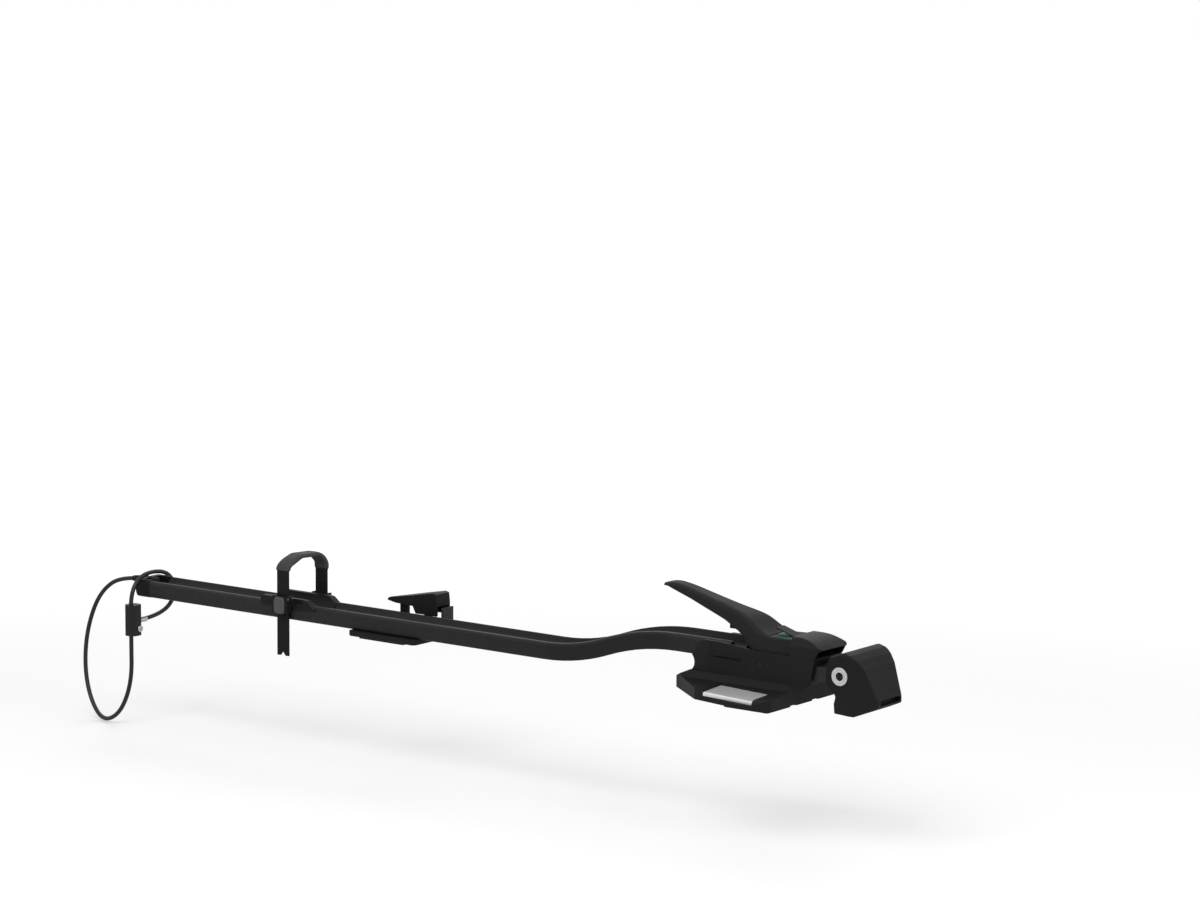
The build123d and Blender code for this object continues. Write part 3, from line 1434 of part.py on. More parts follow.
# The wheel holder, a saddle that slides along the tray
holder_front_x = holder_rear_x + holder_length
holder_tray_section = tray_section(running_gap)
trough_centre = tray_height - trough_depth + trough_radius
strap_half = strap_width / 2
lug_inner = strap_half + strap_gap
anchor_x = strap_x + (strap_far_y - strap_near_y) * math.tan(math.radians(strap_skew))
with BuildPart() as wheel_holder:
    with BuildSketch(plane_at_x(holder_rear_x, tray_floor_z)):
        with Locations((0, trough_centre)):
            Circle(trough_radius - running_gap)
        with Locations((0, holder_top_z - tray_floor_z + trough_radius)):
            Rectangle(2 * trough_radius, 2 * trough_radius, mode=Mode.SUBTRACT)
        with Locations((0, (holder_top_z + holder_skirt_z) / 2 - tray_floor_z)):
            RectangleRounded(holder_width, holder_top_z - holder_skirt_z, holder_edge_radius)
        with Locations((0, trough_centre + holder_floor)):
            Circle(trough_radius - running_gap, mode=Mode.SUBTRACT)
        add(holder_tray_section, mode=Mode.SUBTRACT)
    extrude(amount=holder_length)
    with BuildSketch(plane_at_y(0)):
        with BuildLine():
            Polyline(
                (holder_rear_x, tray_floor_z),
                (holder_rear_x, holder_top_z - holder_edge_radius),
                (holder_rear_x + holder_edge_radius, holder_top_z),
                (holder_front_x - holder_slope_length, holder_top_z),
                (holder_front_x, holder_skirt_z + holder_edge_radius),
                (holder_front_x, tray_floor_z),
                close=True,
            )
        make_face()
    extrude(amount=holder_width, both=True, mode=Mode.INTERSECT)
    with BuildSketch(plane_at_y(-holder_width / 2)):
        with BuildLine():
            Polyline(
                (holder_notch_x - holder_notch_length / 2, holder_top_z),
                (holder_notch_x - holder_notch_length / 2 + holder_notch_slant, holder_notch_z),
                (holder_notch_x + holder_notch_length / 2 - holder_notch_slant, holder_notch_z),
                (holder_notch_x + holder_notch_length / 2, holder_top_z),
                close=True,
            )
        make_face()
    extrude(amount=-holder_notch_depth, mode=Mode.SUBTRACT)
    with BuildSketch(Plane.XY.offset(buckle_bottom_z)):
        for side in (1, -1):
            with Locations((
                strap_x + side * (lug_inner + buckle_wall / 2),
                -(holder_width + buckle_reach) / 2 + running_gap,
            )):
                Rectangle(buckle_wall, buckle_reach + 2 * running_gap)
    extrude(amount=buckle_top_z - buckle_bottom_z)
    with BuildSketch(Plane.XY.offset(anchor_lug_bottom_z)):
        for side in (1, -1):
            with Locations((
                anchor_x + side * (strap_half + anchor_side_gap + anchor_lug_wall / 2),
                (holder_width + anchor_lug_reach) / 2 - running_gap,
            )):
                Rectangle(anchor_lug_wall, anchor_lug_reach + 2 * running_gap)
    extrude(amount=anchor_lug_top_z - anchor_lug_bottom_z)
    with BuildSketch(plane_at_x(0)):
        with Locations((tab_pivot_y, tab_pivot_z)):
            Circle(tab_pin_radius)
        with Locations((strap_far_y, anchor_z)):
            Circle(anchor_pin_radius)
    extrude(amount=2 * holder_rear_x, mode=Mode.SUBTRACT)
wheel_holder.part.label = "wheel_holder"
export_step(wheel_holder.part, "parts/wheel_holder.step")

with BuildPart() as tab_pin:
    with BuildSketch(plane_at_x(strap_x)):
        with Locations((tab_pivot_y, tab_pivot_z)):
            Circle(tab_pin_radius)
    extrude(amount=lug_inner + buckle_wall, both=True)
tab_pin.part.label = "tab_pin"
export_step(tab_pin.part, "parts/tab_pin.step")

with BuildPart() as strap_anchor_pin:
    with BuildSketch(plane_at_x(anchor_x)):
        with Locations((strap_far_y, anchor_z)):
            Circle(anchor_pin_radius)
    extrude(amount=strap_half + anchor_side_gap + anchor_lug_wall, both=True)
strap_anchor_pin.part.label = "strap_anchor_pin"
export_step(strap_anchor_pin.part, "parts/strap_anchor_pin.step")


def strap_plan(half_width):
    """The strap's outline seen from above: its run over the wheel slants forward to the far side."""
    return [
        (strap_x - half_width, strap_near_y - reach_through),
        (strap_x - half_width, strap_near_y),
        (anchor_x - half_width, strap_far_y),
        (anchor_x - half_width, strap_far_y + reach_through),
        (anchor_x + half_width, strap_far_y + reach_through),
        (anchor_x + half_width, strap_far_y),
        (strap_x + half_width, strap_near_y),
        (strap_x + half_width, strap_near_y - reach_through),
    ]


strap_route = [
    (strap_near_y, strap_tail_z),
    (strap_near_y, strap_near_bend_z),
    (strap_near_y + strap_near_slope, strap_top_z),
    (strap_far_y - strap_far_slope, strap_top_z),
    (strap_far_y, strap_near_bend_z),
    (strap_far_y, anchor_z + strap_eye_radius - strap_thickness / 2),
]
strap_length_in_x = anchor_x - strap_x + 2 * strap_width
with BuildPart() as wheel_strap:
    with BuildSketch(plane_at_x(strap_x - strap_width)):
        with BuildLine():
            FilletPolyline(*strap_route, radius=strap_bend_radius)
        trace(line_width=strap_thickness)
        with Locations((strap_far_y, anchor_z)):
            Circle(strap_eye_radius)
            Circle(anchor_pin_radius + pin_gap, mode=Mode.SUBTRACT)
    extrude(amount=strap_length_in_x)
    with BuildSketch(Plane.XY.offset(strap_tail_z - overrun)):
        with BuildLine():
            Polyline(*strap_plan(strap_half), close=True)
        make_face()
    extrude(amount=reach_through, mode=Mode.INTERSECT)
    with BuildSketch(plane_at_y(strap_near_y)):
        with BuildLine():
            Polyline(
                (strap_x - strap_notch_width / 2, strap_tail_z),
                (strap_x, strap_tail_z + strap_notch_depth),
                (strap_x + strap_notch_width / 2, strap_tail_z),
                close=True,
            )
        make_face()
    extrude(amount=strap_thickness, both=True, mode=Mode.SUBTRACT)
    with BuildSketch(plane_at_x(strap_x)):
        tooth_face_y = strap_near_y - strap_thickness / 2
        for tooth in range(strap_tooth_count):
            tooth_z = strap_tooth_start_z + tooth * strap_tooth_pitch
            with BuildLine():
                Polyline(
                    (tooth_face_y, tooth_z),
                    (tooth_face_y - strap_tooth_height, tooth_z),
                    (tooth_face_y, tooth_z + strap_tooth_pitch / 2),
                    close=True,
                )
            make_face()
    extrude(amount=strap_half - buckle_wall, both=True)
wheel_strap.part.label = "wheel_strap"
export_step(wheel_strap.part, "parts/wheel_strap.step")

with BuildPart() as rim_pad:
    with BuildSketch(plane_at_x(strap_x - strap_width)):
        with BuildLine():
            FilletPolyline(*strap_route, radius=strap_bend_radius)
        trace(line_width=rim_pad_thickness)
        with Locations((strap_near_y, rim_pad_near_z - reach_through / 2)):
            Rectangle(strap_width, reach_through, mode=Mode.SUBTRACT)
        with Locations((strap_far_y, rim_pad_far_z - reach_through / 2)):
            Rectangle(strap_width, reach_through, mode=Mode.SUBTRACT)
    extrude(amount=strap_length_in_x)
    with BuildSketch(Plane.XY):
        with BuildLine():
            Polyline(*strap_plan(rim_pad_width / 2), close=True)
        make_face()
    extrude(amount=reach_through, mode=Mode.INTERSECT)
    with BuildPart(mode=Mode.PRIVATE) as strap_tunnel:
        with BuildSketch(plane_at_x(strap_x - strap_width)):
            with BuildLine():
                FilletPolyline(*strap_route, radius=strap_bend_radius)
            trace(line_width=strap_thickness + 2 * seat_gap)
        extrude(amount=strap_length_in_x)
        with BuildSketch(Plane.XY):
            with BuildLine():
                Polyline(*strap_plan(strap_half + seat_gap), close=True)
            make_face()
        extrude(amount=reach_through, mode=Mode.INTERSECT)
    add(strap_tunnel.part, mode=Mode.SUBTRACT)
rim_pad.part.label = "rim_pad"
export_step(rim_pad.part, "parts/rim_pad.step")


# The buckle's sprung tab, whose nose locks the strap's teeth
tab_outer_y = -(holder_width / 2 + buckle_reach)
tooth_tip_y = strap_near_y - strap_thickness / 2 - strap_tooth_height
with BuildPart() as buckle_tab:
    with BuildSketch(plane_at_x(strap_x)):
        with Locations((tab_pivot_y, tab_pivot_z)):
            Circle(tab_boss_radius)
        with BuildLine():
            Polyline(
                (tab_pivot_y - tab_boss_radius, tab_pivot_z),
                (tab_outer_y, tab_bottom_z),
                (tab_outer_y + tab_thickness, tab_bottom_z),
                (tab_pivot_y - tab_boss_radius + tab_thickness, tab_nose_z - tab_nose_height),
                (tooth_tip_y - running_gap, tab_nose_z),
                (tooth_tip_y - running_gap, tab_nose_z + tab_nose_height),
                (tab_pivot_y, tab_pivot_z),
                close=True,
            )
        make_face()
        with Locations((tab_pivot_y, tab_pivot_z)):
            Circle(tab_pin_radius + pin_gap, mode=Mode.SUBTRACT)
    extrude(amount=tab_width / 2, both=True)
buckle_tab.part.label = "buckle_tab"
export_step(buckle_tab.part, "parts/buckle_tab.step")


# The lock: a faceted body that the cable runs through, with a key cylinder in its forward face
with BuildPart() as lock_body:
    with BuildSketch(Plane.XY.offset(lock_bottom_z)):
        with Locations((lock_x, lock_y)):
            Rectangle(lock_width, lock_depth)
    extrude(amount=lock_length)
    chamfer(lock_body.edges().filter_by(Axis.Z), lock_chamfer)
    with BuildSketch(Plane.XY.offset(lock_bottom_z - overrun)):
        with Locations((lock_x, cable_lock_y)):
            Circle(cable_diameter / 2 + running_gap)
    extrude(amount=lock_length + 2 * overrun, mode=Mode.SUBTRACT)
    with BuildSketch(plane_at_x(lock_x + lock_width / 2 + overrun)):
        with Locations((lock_core_y, lock_core_z)):
            Circle(lock_core_radius + pin_gap)
    extrude(amount=-lock_core_length - overrun + lock_core_proud, mode=Mode.SUBTRACT)
    with BuildSketch(plane_at_y(lock_y + lock_depth / 2)):
        with Locations((lock_x, ferrule_z)):
            Circle(ferrule_plug_radius)
    extrude(amount=ferrule_plug_length, mode=Mode.SUBTRACT)
lock_body.part.label = "lock_body"
export_step(lock_body.part, "parts/lock_body.step")

with BuildPart() as lock_core:
    with BuildSketch(plane_at_x(lock_x + lock_width / 2 + lock_core_proud)):
        with Locations((lock_core_y, lock_core_z)):
            Circle(lock_core_radius)
    extrude(amount=-lock_core_length)
    chamfer(lock_core.edges().group_by(Axis.X)[-1], lock_core_edge)
    with BuildSketch(plane_at_x(lock_x + lock_width / 2 + lock_core_proud)):
        with Locations((lock_core_y, lock_core_z)):
            Rectangle(lock_key_width, lock_key_length)
    extrude(amount=-lock_key_depth, mode=Mode.SUBTRACT)
lock_core.part.label = "lock_core"
export_step(lock_core.part, "parts/lock_core.step")

ferrule_inner_y = lock_y + lock_depth / 2
with BuildPart() as cable_ferrule:
    with BuildSketch(plane_at_y(ferrule_inner_y)):
        with Locations((lock_x, ferrule_z)):
            Circle(ferrule_radius)
    extrude(amount=-ferrule_length)
    fillet(cable_ferrule.edges().group_by(Axis.Y)[-1], ferrule_edge)
    with BuildSketch(plane_at_y(ferrule_inner_y)):
        with Locations((lock_x, ferrule_z)):
            Circle(ferrule_plug_radius)
    extrude(amount=ferrule_plug_length)
    with BuildSketch(plane_at_y(ferrule_inner_y + ferrule_length)):
        with Locations((lock_x, ferrule_z)):
            Circle(cable_diameter / 2 + pin_gap)
    extrude(amount=ferrule_length - ferrule_wall, mode=Mode.SUBTRACT)
cable_ferrule.part.label = "cable_ferrule"
export_step(cable_ferrule.part, "parts/cable_ferrule.step")


# The lock's cable: out of the cap, down in a bight, up through the lock, round the tail and back
cable_points = [(anchor_start_x, 0.0, cable_exit_z)] + cable_hanging_route + [
    (lock_x, cable_lock_y, cable_loop_top_z),
    (lock_x, cable_loop_far_y, cable_loop_top_z),
    (lock_x, cable_loop_far_y, ferrule_z),
    (lock_x, ferrule_inner_y + ferrule_wall + seat_gap, ferrule_z),
]
cable_runs = [Vector(*end) - Vector(*start) for start, end in zip(cable_points, cable_points[1:])]
cable_radii = []
for before, after in zip(cable_runs, cable_runs[1:]):
    half_turn = math.radians(before.get_angle(after)) / 2
    tangent_length = cable_bend_share * min(before.length, after.length)
    cable_radii.append(min(tangent_length / math.tan(half_turn), cable_widest_bend))
with BuildPart() as lock_cable:
    with BuildLine() as cable_line:
        FilletPolyline(*cable_points, radius=cable_radii)
    with BuildSketch(plane_at_x(anchor_start_x, cable_exit_z)):
        Circle(cable_diameter / 2)
    sweep(path=cable_line.line)
lock_cable.part.label = "lock_cable"
export_step(lock_cable.part, "parts/lock_cable.step")
cable_length = sum(edge.length for edge in cable_line.edges())
cable_area = math.pi * (cable_diameter / 2) ** 2
print("cable runs", [round(run.length) for run in cable_runs])
print("cable radii", [round(radius) for radius in cable_radii])
cable_volume_share = lock_cable.part.volume / (cable_area * cable_length)
print("cable length", round(cable_length, 1), "volume share", round(cable_volume_share, 4))


# The hood over the indicator: a thin tongue that rises towards the tail
with BuildPart() as indicator_hood:
    with BuildSketch(plane_at_y(0)):
        with BuildLine():
            Polyline(
                (hood_front_x, lever_top_z + seat_gap),
                (hood_front_x - hood_length, lever_top_z + hood_rise),
                (hood_front_x - hood_length, lever_top_z + hood_rise - hood_thickness),
                (hood_front_x - hood_sink - hood_thickness, lever_top_z + seat_gap),
                close=True,
            )
        make_face()
    extrude(amount=hood_width / 2, both=True)
indicator_hood.part.label = "indicator_hood"
export_step(indicator_hood.part, "parts/indicator_hood.step")


# The screws in the head's sides
with BuildPart() as housing_screws:
    for side in (1, -1):
        recess_y = side * (head_half - screw_recess_depth)
        head_side = Plane(origin=(head_screw_x, recess_y, head_screw_z), z_dir=(0, side, 0))
        with BuildSketch(head_side):
            Circle(screw_head_radius)
            RegularPolygon(screw_socket_radius, 6, mode=Mode.SUBTRACT)
        extrude(amount=screw_head_height)
        with BuildSketch(head_side.offset(screw_head_height - screw_socket_depth)):
            Circle(screw_head_radius)
        extrude(amount=-screw_head_height + screw_socket_depth)
        with BuildSketch(head_side):
            Circle(screw_radius)
        extrude(amount=-screw_length)
housing_screws.part.label = "housing_screws"
export_step(housing_screws.part, "parts/housing_screws.step")
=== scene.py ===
"""Roof mounted bike carrier: finishes, soft trim, lock cable, studio and camera round the CAD frame."""

import math

import bmesh
import bpy
from mathutils import Matrix, Quaternion, Vector


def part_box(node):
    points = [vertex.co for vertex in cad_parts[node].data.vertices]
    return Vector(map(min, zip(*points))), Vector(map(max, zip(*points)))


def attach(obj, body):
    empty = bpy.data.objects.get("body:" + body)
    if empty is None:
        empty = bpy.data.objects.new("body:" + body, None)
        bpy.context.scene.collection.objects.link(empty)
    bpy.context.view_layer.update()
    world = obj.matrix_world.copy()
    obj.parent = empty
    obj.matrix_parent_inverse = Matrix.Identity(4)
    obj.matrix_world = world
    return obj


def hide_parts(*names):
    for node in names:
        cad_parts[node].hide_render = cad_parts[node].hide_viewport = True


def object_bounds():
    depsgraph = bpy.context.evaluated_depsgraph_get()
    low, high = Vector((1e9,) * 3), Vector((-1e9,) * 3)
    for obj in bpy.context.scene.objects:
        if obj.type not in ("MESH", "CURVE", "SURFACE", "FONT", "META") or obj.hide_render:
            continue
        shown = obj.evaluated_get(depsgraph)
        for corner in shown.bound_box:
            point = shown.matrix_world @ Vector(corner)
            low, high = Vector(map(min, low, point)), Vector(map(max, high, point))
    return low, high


bl_info = {
    "name": "Roof bike carrier dressing",
    "version": (1, 0, 0),
    "blender": (4, 5, 0),
    "location": "View3D > Sidebar > Carrier",
    "description": "Dresses the roof bike carrier's CAD frame with finishes, its lock cable and a studio",
    "category": "Object",
}

MM = 0.001

# Colours of the finishes that no setting changes
STRAP_COLOUR = (0.0065, 0.0065, 0.0068)
RUBBER_COLOUR = (0.009, 0.009, 0.009)
PAD_COLOUR = (0.046, 0.05, 0.05)
LOCK_COLOUR = (0.008, 0.008, 0.0083)
JACKET_COLOUR = (0.007, 0.007, 0.0073)
PLATED_COLOUR = (0.5, 0.5, 0.51)
COATED_COLOUR = (0.012, 0.012, 0.0125)
WHITE = (1.0, 1.0, 1.0, 1.0)

# The middle of a noise node's range, and how much brighter the painted edge highlight is than its face
NOISE_MIDDLE = 0.5
HIGHLIGHT_GAIN = 1.6

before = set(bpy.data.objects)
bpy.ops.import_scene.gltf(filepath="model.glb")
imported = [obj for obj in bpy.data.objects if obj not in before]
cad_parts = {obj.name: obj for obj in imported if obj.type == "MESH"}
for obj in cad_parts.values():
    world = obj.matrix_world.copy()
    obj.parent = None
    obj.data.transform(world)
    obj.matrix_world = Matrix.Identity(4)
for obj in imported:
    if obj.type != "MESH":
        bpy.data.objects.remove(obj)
cad_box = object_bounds()
carrier_low = Vector(cad_box[0])
carrier_high = Vector(cad_box[1])


# Node helpers

def add_node(tree, kind, place=(0, 0), **settings):
    """Adds a node of a kind to a tree at a place, with its settings."""
    node = tree.nodes.new(kind)
    node.location = place
    for name, value in settings.items():
        setattr(node, name, value)
    return node


def join(tree, source, output, target, entry):
    """Links a node's output to another node's input, each given by its name or its number."""
    tree.links.new(source.outputs[output], target.inputs[entry])


def new_group(name, inputs, outputs):
    """Makes an empty shader node group with named sockets, given as (name, kind, default)."""
    tree = bpy.data.node_groups.new(name, "ShaderNodeTree")
    for label, kind, default in inputs:
        socket = tree.interface.new_socket(label, in_out="INPUT", socket_type=kind)
        socket.default_value = default
    for label, kind in outputs:
        tree.interface.new_socket(label, in_out="OUTPUT", socket_type=kind)
    return tree, add_node(tree, "NodeGroupInput", (-900, 0)), add_node(tree, "NodeGroupOutput", (500, 0))


def moulded_grain_group():
    """Fine spark-eroded grain of a moulding: colour, roughness and height that vary a little over it."""
    tree, entry, leave = new_group(
        "moulded_grain",
        [
            ("Color", "NodeSocketColor", (0.02, 0.02, 0.02, 1.0)),
            ("Roughness", "NodeSocketFloat", 0.5),
            ("Grain Scale", "NodeSocketFloat", 900.0),
            ("Mottle", "NodeSocketFloat", 0.15),
        ],
        [("Color", "NodeSocketColor"), ("Roughness", "NodeSocketFloat"), ("Height", "NodeSocketFloat")],
    )
    place = add_node(tree, "ShaderNodeTexCoord", (-900, -250))
    grain = add_node(tree, "ShaderNodeTexNoise", (-650, -150))
    grain.inputs["Detail"].default_value = 3.0
    grain.inputs["Roughness"].default_value = 0.6
    patches = add_node(tree, "ShaderNodeTexNoise", (-650, -450))
    patches.inputs["Scale"].default_value = 22.0
    patches.inputs["Detail"].default_value = 5.0
    tint = add_node(tree, "ShaderNodeMapRange", (-400, 150))
    tint.inputs["To Min"].default_value = 0.82
    tint.inputs["To Max"].default_value = 1.2
    shade = add_node(tree, "ShaderNodeMix", (-150, 150), data_type="RGBA", blend_type="MULTIPLY")
    uneven = add_node(tree, "ShaderNodeMath", (-400, -450), operation="SUBTRACT")
    uneven.inputs[1].default_value = NOISE_MIDDLE
    spread = add_node(tree, "ShaderNodeMath", (-200, -450), operation="MULTIPLY")
    rough = add_node(tree, "ShaderNodeMath", (0, -350), operation="ADD", use_clamp=True)
    join(tree, place, "Object", grain, "Vector")
    join(tree, place, "Object", patches, "Vector")
    join(tree, entry, "Grain Scale", grain, "Scale")
    join(tree, patches, "Fac", tint, "Value")
    join(tree, entry, "Color", shade, 6)
    join(tree, tint, "Result", shade, 7)
    join(tree, entry, "Mottle", shade, 0)
    join(tree, patches, "Fac", uneven, 0)
    join(tree, uneven, 0, spread, 0)
    join(tree, entry, "Mottle", spread, 1)
    join(tree, entry, "Roughness", rough, 0)
    join(tree, spread, 0, rough, 1)
    join(tree, shade, 2, leave, "Color")
    join(tree, rough, 0, leave, "Roughness")
    join(tree, grain, "Fac", leave, "Height")
    return tree


def painted_edge_highlight_group():
    """Painted highlight: convex edges, found by pointiness and broken up by noise, lightened towards a
    brighter edge colour.
    """
    tree, entry, leave = new_group(
        "painted_edge_highlight",
        [
            ("Color", "NodeSocketColor", (0.02, 0.02, 0.02, 1.0)),
            ("Edge Color", "NodeSocketColor", (0.08, 0.08, 0.08, 1.0)),
            ("Amount", "NodeSocketFloat", 0.3),
        ],
        [("Color", "NodeSocketColor"), ("Mask", "NodeSocketFloat")],
    )
    surface = add_node(tree, "ShaderNodeNewGeometry", (-900, -250))
    sharp = add_node(tree, "ShaderNodeMapRange", (-650, -200), clamp=True)
    sharp.inputs["From Min"].default_value = 0.505
    sharp.inputs["From Max"].default_value = 0.6
    place = add_node(tree, "ShaderNodeTexCoord", (-900, -500))
    breaks = add_node(tree, "ShaderNodeTexNoise", (-650, -500))
    breaks.inputs["Scale"].default_value = 160.0
    breaks.inputs["Detail"].default_value = 4.0
    broken = add_node(tree, "ShaderNodeMath", (-400, -350), operation="MULTIPLY")
    mask = add_node(tree, "ShaderNodeMath", (-200, -350), operation="MULTIPLY", use_clamp=True)
    blend = add_node(tree, "ShaderNodeMix", (100, 100), data_type="RGBA")
    join(tree, surface, "Pointiness", sharp, "Value")
    join(tree, place, "Object", breaks, "Vector")
    join(tree, sharp, "Result", broken, 0)
    join(tree, breaks, "Fac", broken, 1)
    join(tree, broken, 0, mask, 0)
    join(tree, entry, "Amount", mask, 1)
    join(tree, mask, 0, blend, 0)
    join(tree, entry, "Color", blend, 6)
    join(tree, entry, "Edge Color", blend, 7)
    join(tree, blend, 2, leave, "Color")
    join(tree, mask, 0, leave, "Mask")
    return tree


def drawn_lines_group():
    """Faint lines along X, as an extrusion's die or a brush leaves them."""
    tree, entry, leave = new_group(
        "drawn_lines",
        [
            ("Roughness", "NodeSocketFloat", 0.35),
            ("Line Scale", "NodeSocketFloat", 700.0),
            ("Spread", "NodeSocketFloat", 0.12),
        ],
        [("Roughness", "NodeSocketFloat"), ("Height", "NodeSocketFloat")],
    )
    place = add_node(tree, "ShaderNodeTexCoord", (-900, -250))
    stretch = add_node(tree, "ShaderNodeMapping", (-700, -250))
    stretch.inputs["Scale"].default_value = (0.01, 1.0, 1.0)
    lines = add_node(tree, "ShaderNodeTexNoise", (-450, -250))
    lines.inputs["Detail"].default_value = 4.0
    centred = add_node(tree, "ShaderNodeMath", (-200, -250), operation="SUBTRACT")
    centred.inputs[1].default_value = NOISE_MIDDLE
    spread = add_node(tree, "ShaderNodeMath", (0, -250), operation="MULTIPLY")
    rough = add_node(tree, "ShaderNodeMath", (200, -150), operation="ADD", use_clamp=True)
    join(tree, place, "Object", stretch, "Vector")
    join(tree, stretch, "Vector", lines, "Vector")
    join(tree, entry, "Line Scale", lines, "Scale")
    join(tree, lines, "Fac", centred, 0)
    join(tree, centred, 0, spread, 0)
    join(tree, entry, "Spread", spread, 1)
    join(tree, entry, "Roughness", rough, 0)
    join(tree, spread, 0, rough, 1)
    join(tree, rough, 0, leave, "Roughness")
    join(tree, lines, "Fac", leave, "Height")
    return tree


def rounded_edges_group():
    """The small radius that a mould or a file leaves on an edge, as a normal."""
    tree, entry, leave = new_group(
        "rounded_edges",
        [("Radius", "NodeSocketFloat", 0.0006)],
        [("Normal", "NodeSocketVector")],
    )
    edge = add_node(tree, "ShaderNodeBevel", (-300, 0), samples=6)
    join(tree, entry, "Radius", edge, "Radius")
    join(tree, edge, "Normal", leave, "Normal")
    return tree


def group_node(material, group, place):
    """Places a node group in a material."""
    node = add_node(material.node_tree, "ShaderNodeGroup", place)
    node.node_tree = bpy.data.node_groups[group]
    return node


def blank_material(name):
    """A material with only a Principled BSDF and its output."""
    material = bpy.data.materials.new(name)
    material.use_nodes = True
    return material, material.node_tree.nodes["Principled BSDF"]


def painted_highlight_colour(colour, lift):
    """The colour of the painted highlight that a finish takes along its edges."""
    return (*[min(1.0, HIGHLIGHT_GAIN * part + lift) for part in colour], 1.0)


def grained_material(name, colour, roughness, grain_scale, grain_depth, mottle, edge, specular):
    """Moulded plastic or rubber: grained, faintly mottled, with a painted highlight along its edges."""
    material, shader = blank_material(name)
    tree = material.node_tree
    grain = group_node(material, "moulded_grain", (-700, 0))
    grain.inputs["Color"].default_value = (*colour, 1.0)
    grain.inputs["Roughness"].default_value = roughness
    grain.inputs["Grain Scale"].default_value = grain_scale
    grain.inputs["Mottle"].default_value = mottle
    # Painted highlight: the edges are lightened towards a brighter colour
    painted_highlight = group_node(material, "painted_edge_highlight", (-450, 100))
    painted_highlight.inputs["Edge Color"].default_value = painted_highlight_colour(colour, 0.008)
    painted_highlight.inputs["Amount"].default_value = edge
    rounded = group_node(material, "rounded_edges", (-450, -450))
    bump = add_node(tree, "ShaderNodeBump", (-250, -250))
    bump.inputs["Strength"].default_value = 0.35
    bump.inputs["Distance"].default_value = grain_depth
    join(tree, rounded, "Normal", bump, "Normal")
    join(tree, grain, "Color", painted_highlight, "Color")
    join(tree, painted_highlight, "Color", shader, "Base Color")
    join(tree, grain, "Roughness", shader, "Roughness")
    join(tree, grain, "Height", bump, "Height")
    join(tree, bump, "Normal", shader, "Normal")
    shader.inputs["Specular IOR Level"].default_value = specular
    return material


def metal_material(name, colour, roughness, line_scale, spread, metallic=1.0, specular=0.5):
    """Extruded, rolled or turned metal with faint lines."""
    material, shader = blank_material(name)
    tree = material.node_tree
    lines = group_node(material, "drawn_lines", (-700, -150))
    lines.inputs["Roughness"].default_value = roughness
    lines.inputs["Line Scale"].default_value = line_scale
    lines.inputs["Spread"].default_value = spread
    # Painted highlight: the edges are lightened towards a brighter colour
    painted_highlight = group_node(material, "painted_edge_highlight", (-450, 100))
    painted_highlight.inputs["Color"].default_value = (*colour, 1.0)
    painted_highlight.inputs["Edge Color"].default_value = painted_highlight_colour(colour, 0.05)
    painted_highlight.inputs["Amount"].default_value = 0.35
    rounded = group_node(material, "rounded_edges", (-450, -450))
    bump = add_node(tree, "ShaderNodeBump", (-250, -250))
    bump.inputs["Strength"].default_value = 0.25
    bump.inputs["Distance"].default_value = 0.00002
    join(tree, rounded, "Normal", bump, "Normal")
    join(tree, painted_highlight, "Color", shader, "Base Color")
    join(tree, lines, "Roughness", shader, "Roughness")
    join(tree, lines, "Height", bump, "Height")
    join(tree, bump, "Normal", shader, "Normal")
    shader.inputs["Metallic"].default_value = metallic
    shader.inputs["Specular IOR Level"].default_value = specular
    return material


def coat_nodes(material, *nodes):
    """Gives CAD nodes a finish."""
    for name in nodes:
        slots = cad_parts[name].data.materials
        slots.clear()
        slots.append(material)


# Mesh helpers

def line_points(curve):
    """The points that a curve's line runs through, read without its bevel."""
    bare = curve.copy()
    bare.bevel_depth = 0.0
    holder = bpy.data.objects.new("bare line", bare)
    mesh = bpy.data.meshes.new_from_object(holder)
    points = [vertex.co.copy() for vertex in mesh.vertices]
    bpy.data.objects.remove(holder)
    bpy.data.curves.remove(bare)
    bpy.data.meshes.remove(mesh)
    return points


def place_along(points, distance):
    """The point and the direction of a line at a distance from its start."""
    for start, end in zip(points, points[1:]):
        run = (end - start).length
        if distance <= run:
            break
        distance -= run
    direction = (end - start).normalized()
    return start + direction * distance, direction


def rounded_line(points, radius, steps):
    """A line through points, with each corner between them rounded by an arc."""
    line = [points[0]]
    for before, corner, after in zip(points, points[1:], points[2:]):
        arrive = (corner - before).normalized()
        leave = (after - corner).normalized()
        turn = arrive.angle(leave)
        centre = corner + (leave - arrive).normalized() * radius / math.cos(turn / 2)
        spoke = corner - arrive * radius * math.tan(turn / 2) - centre
        axis = arrive.cross(leave).normalized()
        line += [centre + Quaternion(axis, turn * step / steps) @ spoke for step in range(steps + 1)]
    return line + [points[-1]]


def oblong(half_width, half_height, fullness, sides):
    """Points round a rounded oblong; a fullness of 2 is an ellipse, and more is squarer."""
    points = []
    for side in range(sides):
        angle = 2 * math.pi * side / sides
        across = math.copysign(abs(math.cos(angle)) ** (2 / fullness), math.cos(angle))
        up = math.copysign(abs(math.sin(angle)) ** (2 / fullness), math.sin(angle))
        points.append((half_width * across, half_height * up))
    return points


